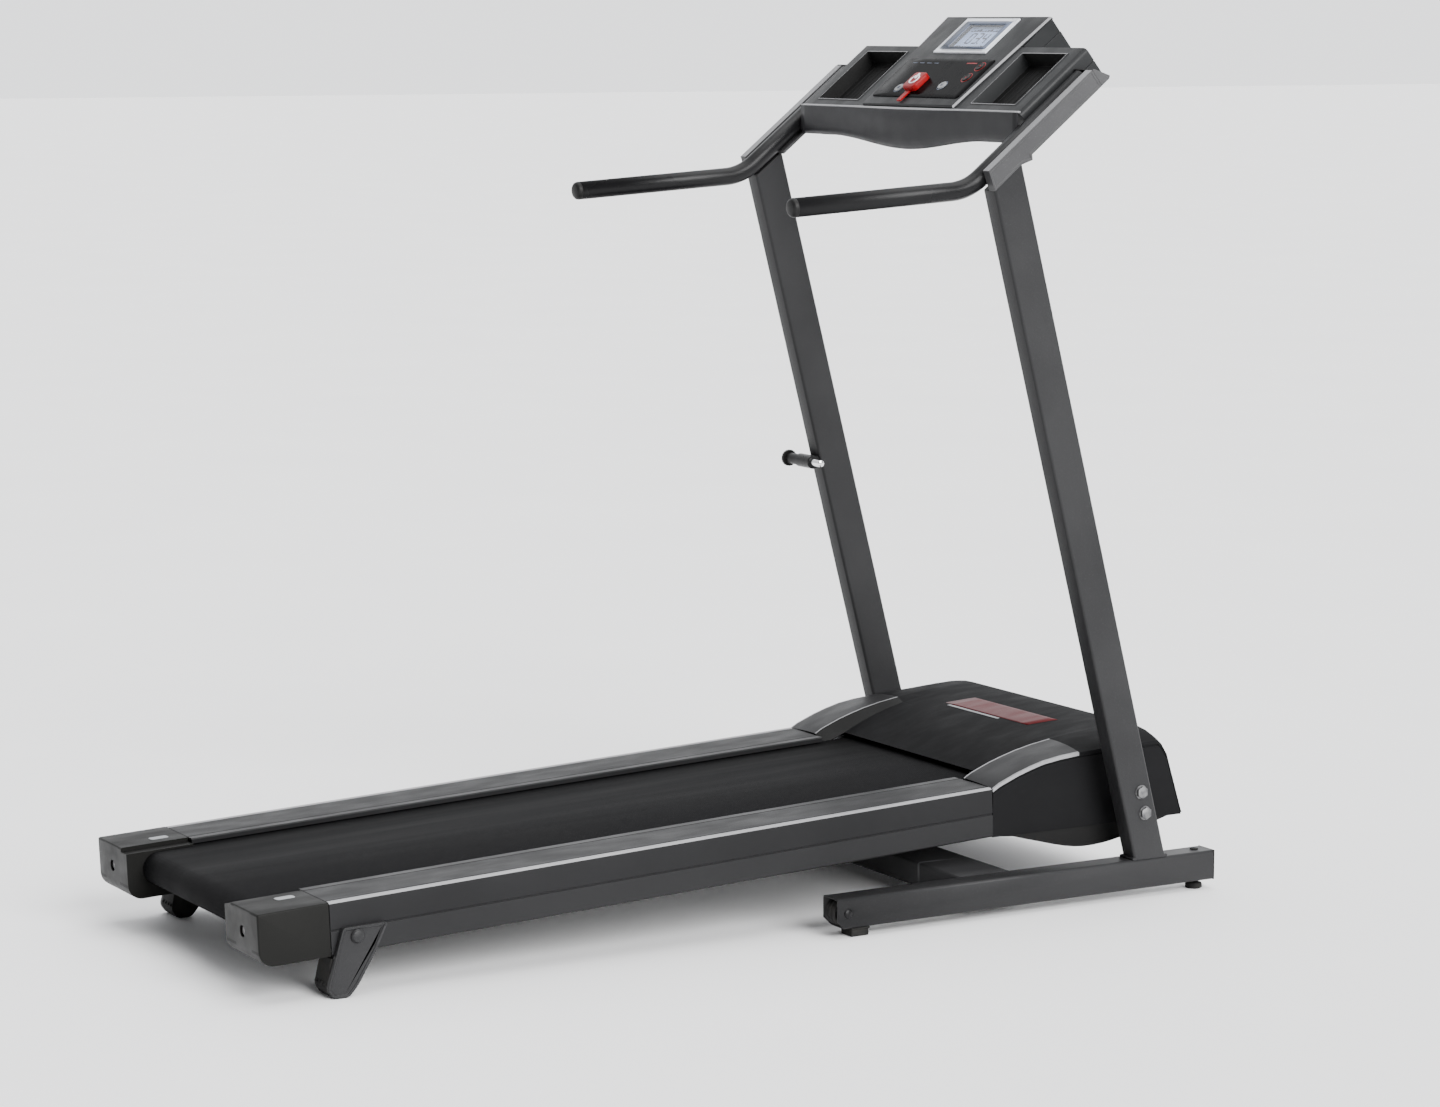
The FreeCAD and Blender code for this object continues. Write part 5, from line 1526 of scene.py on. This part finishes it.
def console_module():
    outline = [(-MODULE_LOW_HALF, 0.122), (MODULE_LOW_HALF, 0.122), (POD_HALF, POD_HIGH),
               (-POD_HALF, POD_HIGH)]
    bm = prism(outline, "Z", CONSOLE_FACE - 0.001, MODULE_FACE)
    soften(bm, lambda m, way: m.z > MODULE_FACE - 1e-4, 0.0035, 4)
    for spot, way in (((-SCREEN_HALF, 0, 0), (1, 0, 0)), ((SCREEN_HALF, 0, 0), (1, 0, 0)),
                      ((0, SCREEN_LOW, 0), (0, 1, 0)), ((0, SCREEN_HIGH, 0), (0, 1, 0))):
        bmesh.ops.bisect_plane(bm, geom=bm.verts[:] + bm.edges[:] + bm.faces[:], dist=1e-6,
                               plane_co=spot, plane_no=way)
    window = panes(bm, lambda m: abs(m.x) < SCREEN_HALF and SCREEN_LOW < m.y < SCREEN_HIGH)
    rims = [edge for face in window for edge in face.edges]
    bmesh.ops.delete(bm, context="FACES_ONLY", geom=window)
    rims = [edge for edge in set(rims) if edge.is_valid and edge.is_boundary]
    bmesh.ops.bridge_loops(bm, edges=rims)
    bm.normal_update()
    # The sloped side bevels of the plate take the pale trim finish, a painted highlight along its edges.
    for face in bm.faces:
        if 0.15 < face.normal.z < 0.97 and abs(face.normal.x) > 0.2:
            face.material_index = 1
    walls = bmesh.new()
    slab((-POD_HALF, CONSOLE_HIGH + 0.0006, PARTING + 0.0004), (POD_HALF, POD_HIGH, CONSOLE_FACE), walls)
    bmesh.ops.delete(walls, context="FACES_ONLY", geom=panes(walls, lambda m: m.z > CONSOLE_FACE - 1e-4))
    soften(walls, lambda m, way: abs(way.z) > 0.9, 0.003, 3)
    carrier = bpy.data.meshes.new("walls")
    walls.to_mesh(carrier)
    bm.from_mesh(carrier)
    bpy.data.meshes.remove(carrier)
    return bm


keep(console_module(), "visible_console_module", "stand", "console_plastic",
     (console_plastic, trim_and_highlight_plastic), place=on_console, stands_for=("console_module",))

# %% [markdown]
# ## Panel and keys
# The panel is a thin gloss plate. Cuts mark out a four-sided cell round each key, and the helper that
# made the pocket in the end caps sinks a round well there, so that the key can be pressed. The keys are turned caps with a dished top for the fingertip. Each carries a plain raised sign: a
# square to stop, a triangle to start, chevrons for faster and slower. Rings printed round them are
# thin turned inlays.

# %% Panel, keys and printed marks
PANEL_TOP = MODULE_FACE + 0.0014
BUTTON_TOP, WELL_FLOOR = 0.0182, 0.0112
BUTTONS = {"stop_button": (-0.064, 0.160), "start_button": (0.0475, 0.168),
           "speed_up_button": (0.097, 0.214), "speed_down_button": (0.091, 0.188)}


def control_panel():
    bm = slab((-0.120, 0.140, MODULE_FACE - 0.0005), (0.120, 0.232, PANEL_TOP))
    soften(bm, lambda m, way: abs(way.z) > 0.9, 0.006, 5)
    soften(bm, lambda m, way: m.z > PANEL_TOP - 1e-4, 0.0005, 2)
    cuts = [((x, 0, 0), (1, 0, 0)) for x in (-0.075, -0.053, 0.037, 0.058, 0.080, 0.108)]
    cuts += [((0, s, 0), (0, 1, 0)) for s in (0.149, 0.178, 0.199, 0.225)]
    for spot, way in cuts:
        bmesh.ops.bisect_plane(bm, geom=bm.verts[:] + bm.edges[:] + bm.faces[:], dist=1e-6,
                               plane_co=spot, plane_no=way)
    for x, s in BUTTONS.values():
        centre = Vector((x, s, PANEL_TOP))
        cell = min(panes(bm, lambda m: m.z > PANEL_TOP - 1e-4),
                   key=lambda f: (f.calc_center_median() - centre).length)
        hole_in(bm, cell, centre, 0.0084, (0, 0, 1), PANEL_TOP - WELL_FLOOR)
    return bm


keep(control_panel(), "visible_control_panel", "stand", "panel_gloss", panel_gloss,
     place=on_console, stands_for=("control_panel",))


def sign_outline(name, x, s, size):
    if name == "stop_button":
        return [(x - size, s - size), (x + size, s - size), (x + size, s + size), (x - size, s + size)]
    if name == "start_button":
        return [(x - 0.8 * size, s - size), (x + 1.1 * size, s), (x - 0.8 * size, s + size)]
    up = 1 if name == "speed_up_button" else -1
    return [(x - size, s - 0.5 * up * size), (x, s + 0.5 * up * size), (x + size, s - 0.5 * up * size),
            (x + size, s + 0.2 * up * size), (x, s + 1.2 * up * size), (x - size, s + 0.2 * up * size)]


def button(name, x, s):
    cap = [(0, BUTTON_TOP - 0.0009), (0.0045, BUTTON_TOP - 0.0006), (0.0064, BUTTON_TOP - 0.0001),
           (0.0070, BUTTON_TOP), (0.0077, BUTTON_TOP - 0.0004), (0.0080, BUTTON_TOP - 0.0012),
           (0.0080, 0.0130), (0.0030, 0.0130), (0.0030, 0.0010), (0, 0.0010)]
    bm = turned(cap, (x, s, 0), (0, 0, 1), 36)
    prism(sign_outline(name, x, s, 0.0026), "Z", BUTTON_TOP - 0.0014, BUTTON_TOP - 0.0003, bm)
    for face in panes(bm, lambda m: m.z > BUTTON_TOP - 0.0005 and math.hypot(m.x - x, m.y - s) < 0.004):
        face.material_index = 1
    return bm


for name, (x, s) in BUTTONS.items():
    speed = name.startswith("speed")
    finishes = (knob_plastic, key_red) if speed else (button_plastic, segment_ink)
    keep(button(name, x, s), "visible_" + name, name, "button_plastic", finishes, place=on_console,
         stands_for=(name,), angle=40)


def printed_rings(spots, inner, outer):
    bm = bmesh.new()
    for x, s in spots:
        ring = [(inner, PANEL_TOP - 0.0002), (inner, PANEL_TOP + 0.0001), (outer, PANEL_TOP + 0.0001),
                (outer, PANEL_TOP - 0.0002), (inner, PANEL_TOP - 0.0002)]
        turned(ring, (x, s, 0), (0, 0, 1), 40, bm)
    return bm


KEY_X, KEY_S = -0.024, 0.172
speed_spots = [BUTTONS["speed_up_button"], BUTTONS["speed_down_button"]]
plain_spots = [BUTTONS["stop_button"], BUTTONS["start_button"]]
red_rings = printed_rings(speed_spots, 0.0092, 0.0106)
slab((0.052, 0.2205, PANEL_TOP - 0.0002), (0.080, 0.2230, PANEL_TOP + 0.0001), red_rings)
keep(red_rings, "panel_red_marks", "stand", "panel_gloss", key_red, place=on_console)
pale_rings = printed_rings(plain_spots, 0.0092, 0.0100)
for step in range(4):
    left = -0.098 + 0.020 * step
    slab((left, 0.2205, PANEL_TOP - 0.0002), (left + 0.012, 0.2215, PANEL_TOP + 0.0001), pale_rings)
keep(pale_rings, "panel_pale_marks", "stand", "panel_gloss", lcd_surround, place=on_console)

# %% [markdown]
# ## Safety key
# The red key pulls out and stops the belt. Its head is a rounded block with a pale ring and bar on
# it, the usual sign for power, and a short tab to pull; the blade goes down into the panel.

# %% Safety key
KEY_LOW, KEY_TOP = 0.0166, 0.0260


def safety_key():
    bm = slab((KEY_X - 0.017, KEY_S - 0.020, KEY_LOW), (KEY_X + 0.017, KEY_S + 0.016, KEY_TOP))
    soften(bm, lambda m, way: abs(way.z) > 0.9, 0.007, 6)
    soften(bm, lambda m, way: m.z > KEY_TOP - 1e-4, 0.0020, 3)
    slab((KEY_X - 0.0067, KEY_S - 0.0027, 0.001), (KEY_X + 0.0067, KEY_S + 0.0027, KEY_LOW), bm)
    slab((KEY_X - 0.005, KEY_S - 0.045, 0.017), (KEY_X + 0.005, KEY_S - 0.018, 0.020), bm)
    middle = KEY_S - 0.002
    ring = [(0.0080, KEY_TOP - 0.0005), (0.0081, KEY_TOP + 0.0009), (0.0090, KEY_TOP + 0.0012),
            (0.0101, KEY_TOP + 0.0009), (0.0102, KEY_TOP - 0.0005), (0.0080, KEY_TOP - 0.0005)]
    turned(ring, (KEY_X, middle, 0), (0, 0, 1), 44, bm)
    slab((KEY_X - 0.0018, middle + 0.0015, KEY_TOP - 0.0005),
         (KEY_X + 0.0018, middle + 0.0132, KEY_TOP + 0.0015), bm)
    for face in panes(bm, lambda m: m.z > KEY_TOP + 1e-4):
        face.material_index = 1
    return bm


keep(safety_key(), "visible_safety_key", "safety_key", "key_red", (key_red, lcd_bezel),
     place=on_console, stands_for=("safety_key",), bevel=0.0004, angle=40, steps=2)

# %% [markdown]
# ## Display
# The display frame is a sheet of panes with the middle one left out; pulled upwards it becomes a
# closed ring, pale outside and blue-grey inside. Behind the clear window lies the crystal cell with
# its dark segments. The digits are the usual seven bars, so a loop lays them out from a short list
# of which bars are lit.

# %% Display frame, window and segments
def lcd_frame():
    bm = sheet((-0.072, -0.063, -0.050, 0.050, 0.063, 0.072),
               (0.247, 0.2545, 0.260, 0.317, 0.3225, 0.330), "Z", MODULE_FACE - 0.0004)
    bmesh.ops.delete(bm, context="FACES", geom=panes(bm, lambda m: abs(m.x) < 0.05 and 0.26 < m.y < 0.317))
    move_panes(bm, bm.faces[:], (0, 0, 0.0029))
    bmesh.ops.recalc_face_normals(bm, faces=bm.faces)
    inner = panes(bm, lambda m: m.z > MODULE_FACE and abs(m.x) < 0.063 and 0.2545 < m.y < 0.3225)
    inner = [f for f in inner if f.normal.z > 0.9]
    move_panes(bm, inner, (0, 0, -0.0009))
    for face in bm.faces:
        middle = face.calc_center_median()
        if abs(middle.x) < 0.0629 and 0.2546 < middle.y < 0.3224:
            face.material_index = 1
    return bm


DIGIT_BARS = {"0": "abcdef", "1": "bc", "2": "abged", "3": "abgcd", "4": "fgbc", "5": "afgcd"}


def digit(bm, shape, x, s, width, thick, level_z):
    """Seven bars in a box twice as high as it is wide, lower left corner at (x, s)."""
    gap = thick * 0.25
    for bar in DIGIT_BARS[shape]:
        if bar in "agd":
            row = {"d": 0, "g": 1, "a": 2}[bar]
            low = (x + gap, s + row * width - thick / 2)
            high = (x + width - gap, s + row * width + thick / 2)
        else:
            side = x if bar in "fe" else x + width
            row = 1 if bar in "fb" else 0
            low = (side - thick / 2, s + row * width + gap)
            high = (side + thick / 2, s + (row + 1) * width - gap)
        slab((*low, level_z), (*high, level_z + 0.0004), bm)


def lcd_segments():
    bm = bmesh.new()
    cell_top = 0.0090
    for place, shape in enumerate("034"):
        digit(bm, shape, -0.030 + 0.019 * place, 0.279, 0.0115, 0.0026, cell_top)
    slab((0.0045, 0.2775, cell_top), (0.0070, 0.2800, cell_top + 0.0004), bm)
    for place, shape in enumerate("1205"):
        digit(bm, shape, 0.0155 + 0.0068 * place, 0.2640, 0.0042, 0.0011, cell_top)
    for place, shape in enumerate("051"):
        digit(bm, shape, -0.0440 + 0.0068 * place, 0.2640, 0.0042, 0.0011, cell_top)
    for step in range(12):
        left = -0.0440 + 0.0074 * step
        rise = 0.0018 + 0.0012 * (step % 4)
        slab((left, 0.3070, cell_top), (left + 0.0056, 0.3070 + rise, cell_top + 0.0004), bm)
    slab((-0.0450, 0.3138, cell_top), (0.0450, 0.3150, cell_top + 0.0004), bm)
    return bm


def lcd_window():
    return slab((-0.0498, 0.2602, 0.0146), (0.0498, 0.3168, 0.0162))


keep(lcd_frame(), "visible_lcd_frame", "stand", "lcd_bezel", (lcd_bezel, lcd_surround),
     place=on_console, stands_for=("lcd_frame",), bevel=0.0007)
keep(lcd_segments(), "lcd_segments", "stand", "lcd_screen", segment_ink, place=on_console)
keep(lcd_window(), "visible_lcd_window", "stand", "lcd_glass", lcd_glass, place=on_console,
     stands_for=("lcd_window",), bevel=0.0004, steps=2)

# %% [markdown]
# ## Working parts that keep their design shape
# The parts inside and below keep the shapes of the design, which are exact already: tubes, board,
# rollers, motor, belts and circuit boards. They only need their finishes, one for each.

# %% Finishes for the working parts
WORKING_PARTS = {
    "deck_side_tubes": frame_paint, "deck_crossmembers": frame_paint, "deck_board": deck_wood,
    "board_isolators": foot_rubber, "rear_roller": roller_steel, "front_roller": roller_steel,
    "roller_axles": zinc_steel, "catch_plate": zinc_steel, "drive_motor": motor_paint,
    "motor_rotor": roller_steel, "drive_belt": drive_rubber, "controller_board": circuit_board,
    "console_board": circuit_board, "lcd_display": lcd_screen, "power_inlet": cap_plastic,
    "switch_frame": cap_plastic, "power_switch": key_red}

for name, finish in WORKING_PARTS.items():
    node = frame["nodes"][name]
    node.data.materials.clear()
    node.data.materials.append(finish)
print(len(WORKING_PARTS), "working parts finished")
